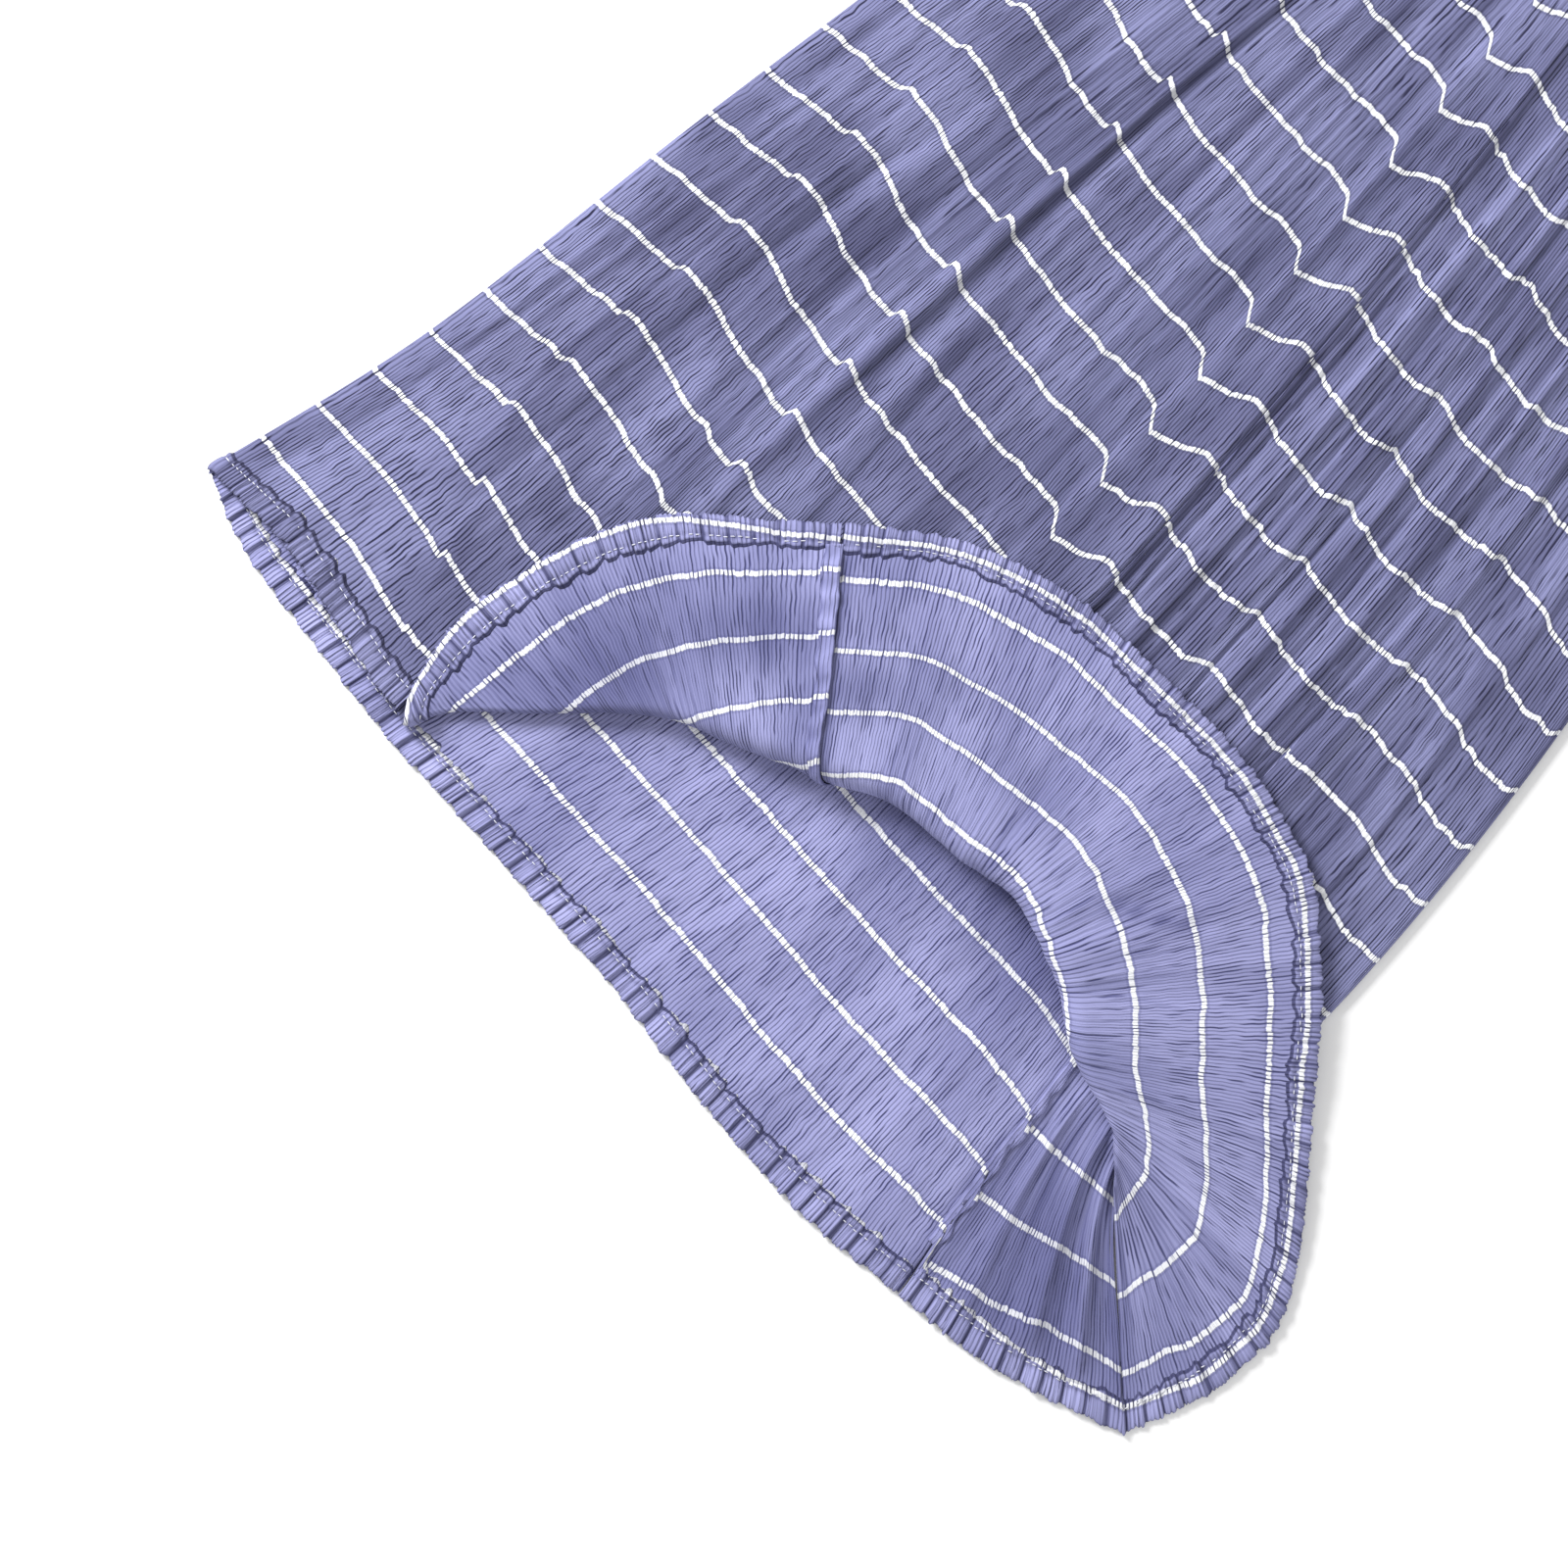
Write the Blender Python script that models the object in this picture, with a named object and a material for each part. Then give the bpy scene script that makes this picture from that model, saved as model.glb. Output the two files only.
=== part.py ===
# A crinkled, striped midi skirt laid flat with its front hem turned back to show the inside.
# The cloth is worked out in two coordinates, both in millimetres:
#   along  - round the tube at the hem, from the seam on the flap leftwards, under and back again
#   up     - from the hem towards the waist
import math

import bmesh
import bpy
import numpy as np

MM = 0.001

# Driving dimensions, in millimetres.
STRIPE_PITCH = 32.3
WALL = 1.0
SEAM_GAP = 0.8
LAY_GAP = 0.35
TRIM_WALL = 0.8
HEM_DEPTH = 12.0
CLOTH_TOP = 24.0 * STRIPE_PITCH
WAIST_LINE = 25.0 * STRIPE_PITCH
WAIST_Y = 781.0
WAIST_TILT = -0.12
WAIST_LEFT = -154.0
WAIST_RIGHT = 155.0
BAND_WALL = 1.5
BAND_GAP = 0.3
BAND_TURN_STEPS = 7
SIDE_TURN = 4.0
BACK_HEIGHT = 0.5 * WALL
FRONT_HEIGHT = 3.3
HEM_LIFT = 2.2
FLAP_CROWN = 2.0
PUFF_LENGTH = 15.0
PUFF_HEIGHT = 1.1
PUFF_REACH = 1.6

# Where the seams, the side folds and the start of the flap lie along the hem.
FRONT_SEAM = 0.0
FLAP_START = 244.0
LEFT_FOLD = 385.0
BACK_SEAM = 883.0
RIGHT_FOLD = 1005.0
HEM_ROUND = 1579.0

# Rows of turned-back cloth: the hem point, the fold it turns at, and the middle of its way to the waist.
# The stripe columns count stripes from the hem. Roll is the fold's radius and lift the height of the hem.
TURNED = (
    "along", "hem_x", "hem_y", "hem_stripe", "fold_x", "fold_y", "fold_stripe",
    "roll", "lift", "mid_x", "mid_y", "mid_stripe", "waist_x",
)
FLAP_LEFT = [
    (0, -74, 193, 0.25, 5, 104, 4.35, 9.0, 9.5, 33, 261, 9, 2),
    (30, -101, 170, 0.20, -16, 97, 4.00, 8.0, 9.5, 8, 259, 9, -9),
    (70, -132, 144, 0.14, -43, 87, 3.45, 6.5, 9.0, -22, 263, 9, -22),
    (110, -152, 113, 0.14, -65, 79, 3.00, 5.0, 8.0, -52, 268, 9, -36),
    (150, -165, 75, 0.14, -87, 64, 2.50, 3.8, 7.5, -85, 273, 9, -47),
    (183, -171, 42, 0.14, -110, 42, 1.90, 2.8, 7.5, -108, 276, 9, -54),
    (213, -167, 12, 0.18, -143, 12, 1.00, 2.0, 8.0, -127, 279, 9, -63),
    (236, -163, -4, 0.25, -156, -8, 0.25, 2.4, 8.6, -140, 281, 9, -70),
    (244, -171, -11, 0.25, -164, -14, -0.02, 2.0, 8.6, -145, 282, 9, -73),
]
FLAP_RIGHT = [
    (1005, 302, -20, 0.30, 217, 70, 3.60, 2.4, 0.7, 240, 185, 7.2, 155),
    (1028, 311, 1, 0.28, 213, 72, 3.60, 2.4, 1.0, 236, 187, 7.3, 148),
    (1055, 319, 27, 0.38, 209, 74, 3.62, 2.4, 1.5, 228, 191, 7.4, 140),
    (1082, 321, 54, 0.42, 205, 77, 3.66, 2.6, 2.2, 219, 197, 7.6, 132),
    (1108, 313, 78, 0.40, 200, 80, 3.72, 2.8, 3.0, 207, 206, 7.8, 124),
    (1149, 290, 112, 0.36, 186, 85, 3.88, 3.8, 4.5, 187, 222, 8.2, 113),
    (1195, 261, 148, 0.30, 162, 92, 4.05, 6.5, 6.5, 164, 241, 8.7, 101),
    (1254, 223, 193, 0.26, 138, 108, 4.20, 9.0, 9.0, 146, 253, 9, 88),
    (1310, 179, 227, 0.26, 122, 115, 4.25, 10.0, 9.5, 127, 254, 9, 76),
    (1378, 113, 241, 0.26, 96, 123, 4.40, 10.0, 9.5, 103, 256, 9, 59),
    (1449, 42, 242, 0.26, 72, 119, 4.60, 10.0, 9.5, 80, 256, 9, 42),
    (1514, -21, 228, 0.27, 39, 118, 4.65, 9.5, 9.5, 55, 257, 9, 23),
    (1579, -74, 193, 0.28, 5, 104, 4.35, 9.0, 9.5, 33, 261, 9, 2),
]
# Rows of cloth that lies flat: hem, fourth stripe, middle and waist.
FLAT = (
    "along", "hem_x", "hem_y", "hem_stripe", "low_x", "low_y",
    "mid_x", "mid_y", "mid_stripe", "waist_x",
)
FRONT_LEFT = [
    (244, -163, -6, 0.25, -155, 117, -145, 282, 9, -73),
    (260, -179, -4, 0.25, -169, 118, -156, 283, 9, -79),
    (290, -211, 4, 0.25, -196, 123, -178, 288, 9, -94),
    (335, -262, 15, 0.25, -237, 129, -212, 291, 9, -122),
    (385, -302, 15, 0.10, -272, 129, -247, 290, 9, -154),
]
BACK_LEFT = [
    (385, -302, 15, 0.10, -272, 129, -247, 290, 9, -154),
    (430, -264, -1, -0.15, -236, 125, -215, 288, 9, -135),
    (480, -215, -10, -0.18, -187, 122, -172, 284, 9, -105),
    (535, -160, -18, -0.18, -130, 118, -122, 280, 9, -75),
    (600, -97, -23, -0.18, -70, 113, -68, 275, 9, -42),
    (690, -8, -31, -0.18, 8, 105, 5, 268, 9, 0),
    (775, 79, -44, -0.18, 80, 100, 75, 262, 9, 50),
    (830, 132, -47, -0.16, 130, 97, 118, 259, 9, 78),
    (883, 184, -44, -0.15, 171, 89, 160, 256, 9, 105),
]
BACK_RIGHT = [
    (883, 184, -44, 0.52, 171, 89, 160, 256, 9, 105),
    (925, 224, -41, 0.35, 190, 86, 190, 240, 8.5, 125),
    (965, 263, -33, 0.18, 206, 84, 217, 212, 7.8, 141),
    (1005, 302, -20, 0.30, 218, 82, 240, 185, 7.2, 155),
]
# Long soft pleats of the front: place along the hem, half width, height, and the stripe where they start.
PLEATS = [
    (0, 20, 2.0, 4.0),
    (43, 14, 1.6, 5.0),
    (120, 16, 1.2, 6.0),
    (194, 15, 3.2, 2.5),
    (304, 17, 1.6, 1.0),
    (352, 14, 0.8, 1.0),
    (1130, 24, 1.8, 6.0),
    (1215, 24, 2.2, 6.0),
    (1300, 26, 2.4, 6.0),
    (1375, 24, 2.2, 6.0),
    (1440, 22, 2.0, 6.0),
    (1505, 20, 2.2, 5.0),
    (1579, 20, 2.0, 4.0),
]
PLEAT_GROWTH = 4.0

# The columns of each panel's mesh: the start and end of a stretch along the hem, and a column's width there.
LEFT_COLUMNS = [
    (0, 12, 12), (12, 204, 12), (204, 256, 4), (256, 372, 12), (372, 381, 9), (381, 389, 2),
    (389, 398, 9), (398, 874, 36), (874, 883, 9),
]
RIGHT_COLUMNS = [
    (883, 893, 10), (893, 989, 24), (989, 1001, 12), (1001, 1009, 4), (1009, 1567, 18), (1567, 1579, 12),
]
# The turned hem across its depth: share of the depth, and share of a puff's height.
HEM_PROFILE = [(0.04, 0.0), (0.5, 1.0), (0.92, 0.3)]
HEM_CLEARANCE = 1.2
SEAM_SHARES = (0.06, 0.7)
SEAM_START = 0.2
ABOVE_HEM = 1

# Mesh counts, and where their rows crowd together.
LOW_STRIPE = 4.0
APEX_STRIPE = 3.6
APEX_QUARTER = 9.0
SHORTEST_LEG = 2.0
LEG_ROWS = 5
ROLL_ROWS = 7
SHEET_ROWS = 9
ROW_CROWDING = 1.3
FLAT_QUARTER = 3.0
FLAP_EASE = 80.0
SHARPEST_TURN = 0.4
TIP_DIRECTION = (-0.82, 0.57)
SETTLING = 12.0
LIFT_EASE = 20.0
PUFF_STEPS = 3


def columns(names, rows):
    return dict(zip(names, np.array(rows, float).T))


FOLDED = {"left": columns(TURNED, FLAP_LEFT), "right": columns(TURNED, FLAP_RIGHT)}
LAID = {
    "front": columns(FLAT, FRONT_LEFT),
    "back_left": columns(FLAT, BACK_LEFT),
    "back_right": columns(FLAT, BACK_RIGHT),
}


def ease(x, knots, values):
    """A smooth curve through the knots that never overshoots them."""
    step = [b - a for a, b in zip(knots, knots[1:])]
    rise = [(b - a) / h for a, b, h in zip(values, values[1:], step)]
    slope = [rise[0]]
    for before, after in zip(rise, rise[1:]):
        both = before * after
        mean = 2.0 * both / np.where(both > 0, before + after, 1.0)
        slope.append(np.where(both > 0, mean, 0.0))
    slope.append(rise[-1])
    out = values[0] + slope[0] * (x - knots[0])
    for i, h in enumerate(step):
        u = (x - knots[i]) / h
        inside = (1 + 2 * u) * (1 - u) ** 2 * values[i] + u * u * (3 - 2 * u) * values[i + 1]
        inside = inside + h * u * (1 - u) * ((1 - u) * slope[i] - u * slope[i + 1])
        out = np.where(u >= 0, inside, out)
    beyond = values[-1] + slope[-1] * (x - knots[-1])
    return np.where(x > knots[-1], beyond, out)


def soft_step(x):
    x = np.clip(x, 0.0, 1.0)
    return x * x * (3 - 2 * x)


def row_at(table, along):
    """The table's values at places between its rows."""
    return {name: ease(along, table["along"], table[name]) for name in table}


def waist_point(x):
    return x, WAIST_Y + WAIST_TILT * x


def pleat_height(along, up):
    height = np.zeros_like(up)
    for place, half, tall, start in PLEATS:
        near = np.clip(np.abs(along - place) / half, 0, 1)
        grown = soft_step((up / STRIPE_PITCH - start) / PLEAT_GROWTH)
        height = height + tall * grown * (0.5 + 0.5 * np.cos(math.pi * near))
    return height


def front_height(along, up, hem):
    lifted = HEM_LIFT * (1 - soft_step((up - hem - HEM_DEPTH) / LIFT_EASE))
    return FRONT_HEIGHT + lifted + pleat_height(along, up)


def quarter_turn(row):
    """The cloth in a quarter of the fold, and the directions that it turns between."""
    down = np.array([row["fold_x"] - row["mid_x"], row["fold_y"] - row["mid_y"]])
    out = np.array([row["hem_x"] - row["fold_x"], row["hem_y"] - row["fold_y"]])
    down = down / np.linalg.norm(down, axis=0)
    length = np.linalg.norm(out, axis=0)
    tip = np.array(TIP_DIRECTION)[:, None]
    out = np.where(length > 1.0, out / np.maximum(length, 1.0), tip)
    turn = down - out
    sharp = np.maximum(np.linalg.norm(turn, axis=0) / 2, SHARPEST_TURN)
    across = turn / np.linalg.norm(turn, axis=0)
    return 0.5 * math.pi * row["roll"] / sharp, across, (down + out) / 2


def turned_cloth(side, along, up):
    row = row_at(FOLDED[side], along)
    quarter, across, slide = quarter_turn(row)
    hem = row["hem_stripe"] * STRIPE_PITCH
    fold = row["fold_stripe"] * STRIPE_PITCH
    axis = np.array([row["fold_x"], row["fold_y"]]) - across * row["roll"]
    start = fold + quarter
    knots = [start, row["mid_stripe"] * STRIPE_PITCH, np.full_like(start, WAIST_LINE)]
    waist = waist_point(row["waist_x"])
    sheet_up = np.maximum(up, start)
    sheet = np.array([
        ease(sheet_up, knots, [axis[0], row["mid_x"], waist[0]]),
        ease(sheet_up, knots, [axis[1], row["mid_y"], waist[1]]),
    ])
    turn = np.clip((start - up) / (2 * quarter), 0, 1)
    bulge = across * row["roll"] * np.sin(math.pi * turn) + slide * 2 * quarter * turn
    leg = np.clip((fold - quarter - up) / np.maximum(fold - quarter - hem, 1.0), 0, 1)
    landing = axis + slide * 2 * quarter
    reach = np.array([row["hem_x"], row["hem_y"]]) - landing
    x, y = sheet + bulge + reach * leg
    base = front_height(along, sheet_up, hem)
    top = base + 2 * row["roll"]
    height = base + row["roll"] * (1 - np.cos(math.pi * turn))
    settled = 1 - (1 - leg) ** (1 + SETTLING / row["roll"] ** 2)
    height = height + (row["lift"] - top) * settled
    height = height + FLAP_CROWN * np.sin(math.pi * leg) * (row["roll"] / 10)
    return x, y, height


def flat_cloth(part, along, up):
    row = row_at(LAID[part], along)
    hem = row["hem_stripe"] * STRIPE_PITCH
    waist = waist_point(row["waist_x"])
    knots = [
        hem, np.full_like(hem, LOW_STRIPE * STRIPE_PITCH),
        row["mid_stripe"] * STRIPE_PITCH, np.full_like(hem, WAIST_LINE),
    ]
    x = ease(up, knots, [row["hem_x"], row["low_x"], row["mid_x"], waist[0]])
    y = ease(up, knots, [row["hem_y"], row["low_y"], row["mid_y"], waist[1]])
    if part == "front":
        height = front_height(along, up, hem)
    else:
        height = np.full_like(x, BACK_HEIGHT)
    return x, y, height


def zone(along):
    if along < FLAP_START:
        return "left"
    if along < LEFT_FOLD:
        return "front"
    if along <= BACK_SEAM:
        return "back_left"
    if along < RIGHT_FOLD:
        return "back_right"
    return "right"


def skirt_point(along, up):
    """Places in the lie of the skirt for one place along the hem and many heights up the cloth."""
    part = zone(along)
    along = np.full_like(up, along)
    if part in FOLDED:
        return np.array(turned_cloth(part, along, up)).T
    return np.array(flat_cloth(part, along, up)).T


def row_heights(along):
    """How far up the cloth each row of the mesh lies, closer together round the fold."""
    part = zone(along)
    place = np.array([float(along)])
    if part in FOLDED:
        row = row_at(FOLDED[part], place)
        quarter = float(quarter_turn(row)[0][0])
        fold = float(row["fold_stripe"][0]) * STRIPE_PITCH
    else:
        row = row_at(LAID[part], place)
        quarter = FLAT_QUARTER
        fold = LOW_STRIPE * STRIPE_PITCH
        if part == "front":
            fold = fold * float(soft_step((along - FLAP_START) / FLAP_EASE))
        if part == "back_right":
            near_fold = float(soft_step((along - BACK_SEAM) / (RIGHT_FOLD - BACK_SEAM)))
            quarter = quarter + (APEX_QUARTER - quarter) * near_fold
            fold = fold + (APEX_STRIPE - LOW_STRIPE) * STRIPE_PITCH * near_fold
    hem = float(row["hem_stripe"][0]) * STRIPE_PITCH
    fold = max(fold, hem + quarter + SHORTEST_LEG)
    leg = fold - quarter - hem
    legs = hem + np.linspace(min(HEM_DEPTH, 0.6 * leg), leg, LEG_ROWS)
    roll = np.linspace(fold - quarter, fold + quarter, ROLL_ROWS)
    share = np.linspace(0, 1, SHEET_ROWS) ** ROW_CROWDING
    sheet = fold + quarter + (CLOTH_TOP - fold - quarter) * share
    return np.concatenate([[hem], legs, roll[1:], sheet[1:]])


def round_side(grid, places, fold, outward, open_rows):
    """Rounds the cloth over a side fold, where the back becomes the front."""
    turn = (places - fold) / SIDE_TURN
    near = np.flatnonzero(np.abs(turn) <= 1.0001)
    edge = skirt_point(fold, row_heights(fold))
    low, high = sorted((near[0], near[-1]), key=lambda i: grid[i, -1, 2])
    bottom, top = grid[low, :, 2].copy(), grid[high, :, 2].copy()
    for i in near:
        angle = 0.5 * math.pi * turn[i] * outward
        inward = (top - bottom) / 2 * (1 - math.cos(angle))
        share = (1 + math.sin(angle)) / 2
        grid[i, open_rows:, :2] = edge[open_rows:, :2]
        grid[i, open_rows:, 0] -= outward * inward[open_rows:]
        grid[i, :, 2] = bottom + (top - bottom) * share


def panel_places(first, last, stops):
    """Places along the hem for the columns: at the stops and evenly between them."""
    found = [first]
    for start, end, pace in stops:
        count = max(1, round((end - start) / pace))
        found += list(np.linspace(start, end, count + 1)[1:])
    found[-1] = last
    return np.array(found)


def panel_grid(places):
    """The middle surface of a panel, a column of points for each place."""
    return np.array([skirt_point(place, row_heights(place)) for place in places])


def directions(grid):
    """The way that the outside faces at each point of a grid."""
    round_tube = np.gradient(grid, axis=0)
    up_cloth = np.gradient(grid, axis=1)
    outside = -np.cross(round_tube, up_cloth)
    return outside / np.linalg.norm(outside, axis=2, keepdims=True)


def closed_wall(name, outer, inner, colour):
    """One closed solid between two grids of points."""
    rows, across = outer.shape[:2]
    mesh = bmesh.new()
    sheets = []
    for grid in (outer, inner):
        sheets.append([[mesh.verts.new(point * MM) for point in line] for line in grid])
    for i in range(rows - 1):
        for j in range(across - 1):
            for sheet in sheets:
                corners = (sheet[i][j], sheet[i + 1][j], sheet[i + 1][j + 1], sheet[i][j + 1])
                mesh.faces.new(corners)
    border = [(i, 0) for i in range(rows)]
    border += [(rows - 1, j) for j in range(1, across)]
    border += [(i, across - 1) for i in range(rows - 2, -1, -1)]
    border += [(0, j) for j in range(across - 2, 0, -1)]
    for a, b in zip(border, border[1:] + border[:1]):
        first, second = sheets[0][a[0]][a[1]], sheets[0][b[0]][b[1]]
        third, fourth = sheets[1][b[0]][b[1]], sheets[1][a[0]][a[1]]
        mesh.faces.new((first, second, third, fourth))
    bmesh.ops.recalc_face_normals(mesh, faces=mesh.faces)
    data = bpy.data.meshes.new(name)
    mesh.to_mesh(data)
    mesh.free()
    data.shade_smooth()
    data.materials.append(cloth_material(name, colour))
    thing = bpy.data.objects.new(name, data)
    bpy.context.scene.collection.objects.link(thing)
    return thing


def cloth_material(name, colour):
    material = bpy.data.materials.new(name + "_cloth")
    material.use_nodes = True
    shader = material.node_tree.nodes["Principled BSDF"]
    shader.inputs["Base Color"].default_value = (*colour, 1.0)
    shader.inputs["Roughness"].default_value = 0.85
    shader.inputs["Metallic"].default_value = 0.0
    return material


def between(lines, share):
    """Points a share of the way from the first line of points to the second."""
    return lines[0] + (lines[1] - lines[0]) * share


def hem_strip(name, grid, facing, places, stretch, colour):
    """The turned and gathered hem: puffs along the inside of the hem edge."""
    kept = (places >= stretch[0]) & (places <= stretch[1])
    grid, facing, places = grid[kept], facing[kept], places[kept]
    count = int((places[-1] - places[0]) / PUFF_LENGTH) * PUFF_STEPS
    along = np.linspace(places[0], places[-1], count + 1)
    apart = np.abs(along[:, None] - places[None, :]).min(axis=1) > HEM_CLEARANCE
    along = np.sort(np.concatenate([along[apart], places]))
    phase = (along - places[0]) / PUFF_LENGTH
    uneven = 0.5 + 0.5 * np.sin(1.7 * phase + 0.6 * np.sin(2.3 * phase))
    puff = np.abs(np.sin(math.pi * phase)) * (0.5 + 0.5 * uneven)
    under, over = [], []
    for share, rise in HEM_PROFILE:
        edge = share - (PUFF_REACH / HEM_DEPTH) * puff * (1 - share)
        line = np.zeros((len(along), 3))
        out = np.zeros((len(along), 3))
        for k in range(3):
            hem_line = np.interp(along, places, grid[:, 0, k])
            inner_line = np.interp(along, places, grid[:, 1, k])
            line[:, k] = hem_line + (inner_line - hem_line) * edge
            hem_way = np.interp(along, places, facing[:, 0, k])
            inner_way = np.interp(along, places, facing[:, 1, k])
            out[:, k] = hem_way + (inner_way - hem_way) * share
        clear = WALL / 2 + LAY_GAP
        under.append(line - out * clear)
        over.append(line - out * (clear + TRIM_WALL + PUFF_HEIGHT * puff * rise)[:, None])
    return closed_wall(name, np.array(under), np.array(over), colour)


def seam_strip(name, grid, facing, colour):
    """An overlocked seam allowance lying on the inside of its panel, beside the panel's first edge."""
    clear = WALL / 2 + LAY_GAP
    under, over = [], []
    for share in SEAM_SHARES:
        line = between((grid[0, ABOVE_HEM:], grid[1, ABOVE_HEM:]), share)
        out = between((facing[0, ABOVE_HEM:], facing[1, ABOVE_HEM:]), share)
        line[0] = line[0] + (line[1] - line[0]) * SEAM_START
        under.append(line - out * clear)
        over.append(line - out * (clear + TRIM_WALL))
    return closed_wall(name, np.array(under), np.array(over), colour)


def waistband():
    """A plain flattened tube of elastic above the gathered top of the cloth."""
    half_height = (FRONT_HEIGHT + 0.5 * WALL) / 2
    ends = ((WAIST_RIGHT - half_height, -0.5), (WAIST_LEFT + half_height, 0.5))
    rings = {"outer": [], "inner": []}
    for level in (WAIST_Y * CLOTH_TOP / WAIST_LINE + BAND_GAP, WAIST_Y):
        for key, radius in (("outer", half_height), ("inner", half_height - BAND_WALL)):
            ring = []
            for centre, start in ends:
                for angle in math.pi * np.linspace(start, start + 1, BAND_TURN_STEPS):
                    x = centre + radius * math.cos(angle)
                    height = half_height + radius * math.sin(angle)
                    ring.append((x, level + WAIST_TILT * x, height))
            rings[key].append(ring)
    return rings


def ring_solid(name, rings, colour):
    mesh = bmesh.new()
    made = {
        key: [[mesh.verts.new((x * MM, y * MM, z * MM)) for x, y, z in ring] for ring in levels]
        for key, levels in rings.items()
    }
    count = len(made["outer"][0])
    for i in range(count):
        j = (i + 1) % count
        for key in made:
            low, high = made[key]
            mesh.faces.new((low[i], low[j], high[j], high[i]))
        for level in (0, 1):
            outer, inner = made["outer"][level], made["inner"][level]
            mesh.faces.new((outer[i], outer[j], inner[j], inner[i]))
    bmesh.ops.recalc_face_normals(mesh, faces=mesh.faces)
    data = bpy.data.meshes.new(name)
    mesh.to_mesh(data)
    mesh.free()
    data.shade_smooth()
    data.materials.append(cloth_material(name, colour))
    thing = bpy.data.objects.new(name, data)
    bpy.context.scene.collection.objects.link(thing)
    return thing


def centre_on_floor(things):
    """Puts the middle of the garment's underside at the origin."""
    points = np.array([vertex.co[:] for thing in things for vertex in thing.data.vertices])
    low, high = points.min(axis=0), points.max(axis=0)
    for thing in things:
        thing.location = (-(low[0] + high[0]) / 2, -(low[1] + high[1]) / 2, -low[2])


HEMS = (
    ("left_hem_flap", "left_panel", (0, 206)),
    ("left_hem_lower", "left_panel", (250, 883)),
    ("right_hem", "right_panel", (883, 1579)),
)
OUTSIDE_BLUE = (0.19, 0.20, 0.34)
INSIDE_BLUE = (0.28, 0.29, 0.52)
SEAM_BLUE = (0.25, 0.26, 0.47)


def build():
    for thing in list(bpy.data.objects):
        bpy.data.objects.remove(thing, do_unlink=True)
    half_gap = SEAM_GAP / 2
    left_places = panel_places(FRONT_SEAM + half_gap, BACK_SEAM - half_gap, LEFT_COLUMNS)
    right_places = panel_places(BACK_SEAM + half_gap, HEM_ROUND - half_gap, RIGHT_COLUMNS)
    made = []
    for name, places, fold, outward, open_rows in (
        ("left_panel", left_places, LEFT_FOLD, -1, 0),
        ("right_panel", right_places, RIGHT_FOLD, 1, LEG_ROWS + ROLL_ROWS),
    ):
        grid = panel_grid(places)
        round_side(grid, places, fold, outward, open_rows)
        facing = directions(grid)
        outer = grid + facing * WALL / 2
        inner = grid - facing * WALL / 2
        made.append(closed_wall(name, outer, inner, OUTSIDE_BLUE))
        for hem_name, panel, stretch in HEMS:
            if panel == name:
                made.append(hem_strip(hem_name, grid, facing, places, stretch, INSIDE_BLUE))
        strip_name = "front_seam_allowance" if name == "left_panel" else "back_seam_allowance"
        made.append(seam_strip(strip_name, grid, facing, SEAM_BLUE))
    made.append(ring_solid("waistband", waistband(), OUTSIDE_BLUE))
    centre_on_floor(made)
    return made


build()
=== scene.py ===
# %% [markdown]
# A midi skirt in crinkled blue cloth with thin white stripes. It lies flat, and its front hem is turned
# back in a crescent, so that the inside, the gathered hem and both seams show.
# The solids of the part are loaded first. They give every place and size that the cloth must keep to.

# %% The solids
import math

import bpy
import numpy as np
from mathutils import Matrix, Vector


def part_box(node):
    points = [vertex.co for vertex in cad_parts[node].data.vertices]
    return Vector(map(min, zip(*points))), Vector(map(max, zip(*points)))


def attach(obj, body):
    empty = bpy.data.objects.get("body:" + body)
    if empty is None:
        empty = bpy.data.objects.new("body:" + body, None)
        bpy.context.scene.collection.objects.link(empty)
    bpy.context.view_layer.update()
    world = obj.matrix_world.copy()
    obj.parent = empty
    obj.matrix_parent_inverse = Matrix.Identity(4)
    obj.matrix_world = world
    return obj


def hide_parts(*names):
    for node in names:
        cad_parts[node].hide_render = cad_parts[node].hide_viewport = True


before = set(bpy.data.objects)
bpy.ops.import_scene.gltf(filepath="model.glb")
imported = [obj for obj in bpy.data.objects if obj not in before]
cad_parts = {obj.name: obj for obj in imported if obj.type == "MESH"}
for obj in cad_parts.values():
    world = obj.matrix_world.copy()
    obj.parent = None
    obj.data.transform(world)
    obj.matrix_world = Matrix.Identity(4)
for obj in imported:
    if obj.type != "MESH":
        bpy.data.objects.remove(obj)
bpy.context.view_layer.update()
print("solids:", list(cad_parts))

# %% [markdown]
# The cloth is worked out in millimetres in two directions of its own. "Along" runs round the tube at the
# hem, from the front seam leftwards, under and back again. "Up" runs from the hem to the waist. Every
# stripe is then a line of equal "up", and every crinkle a line of equal "along", as a weaver sees them.

# %% Sizes of the skirt
MM = 0.001
STRIPE_PITCH = 32.3
CLOTH_TOP = 24.0 * STRIPE_PITCH
WAIST_LINE = 25.0 * STRIPE_PITCH
LOW_LINE = 4.0 * STRIPE_PITCH
WAIST_Y, WAIST_TILT = 781.0, -0.12
WAIST_LEFT, WAIST_RIGHT = -154.0, 155.0
CLOTH_WALL = 0.7
HEM_DEPTH, HEM_EASE = 12.0, 20.0
SIDE_TURN = 4.0
SEAM_HALF = 0.4
BACK_HEIGHT, FRONT_HEIGHT, HEM_LIFT, FLAP_CROWN = 0.5, 3.3, 2.2, 2.0
FLAP_START, LEFT_FOLD, BACK_SEAM, RIGHT_FOLD, HEM_ROUND = 244.0, 385.0, 883.0, 1005.0, 1579.0
band_low, band_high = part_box("waistband")
SHIFT = np.array([
    band_low[0] / MM - WAIST_LEFT,
    band_high[1] / MM - (WAIST_Y + WAIST_TILT * WAIST_LEFT),
    0.0,
])
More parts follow.
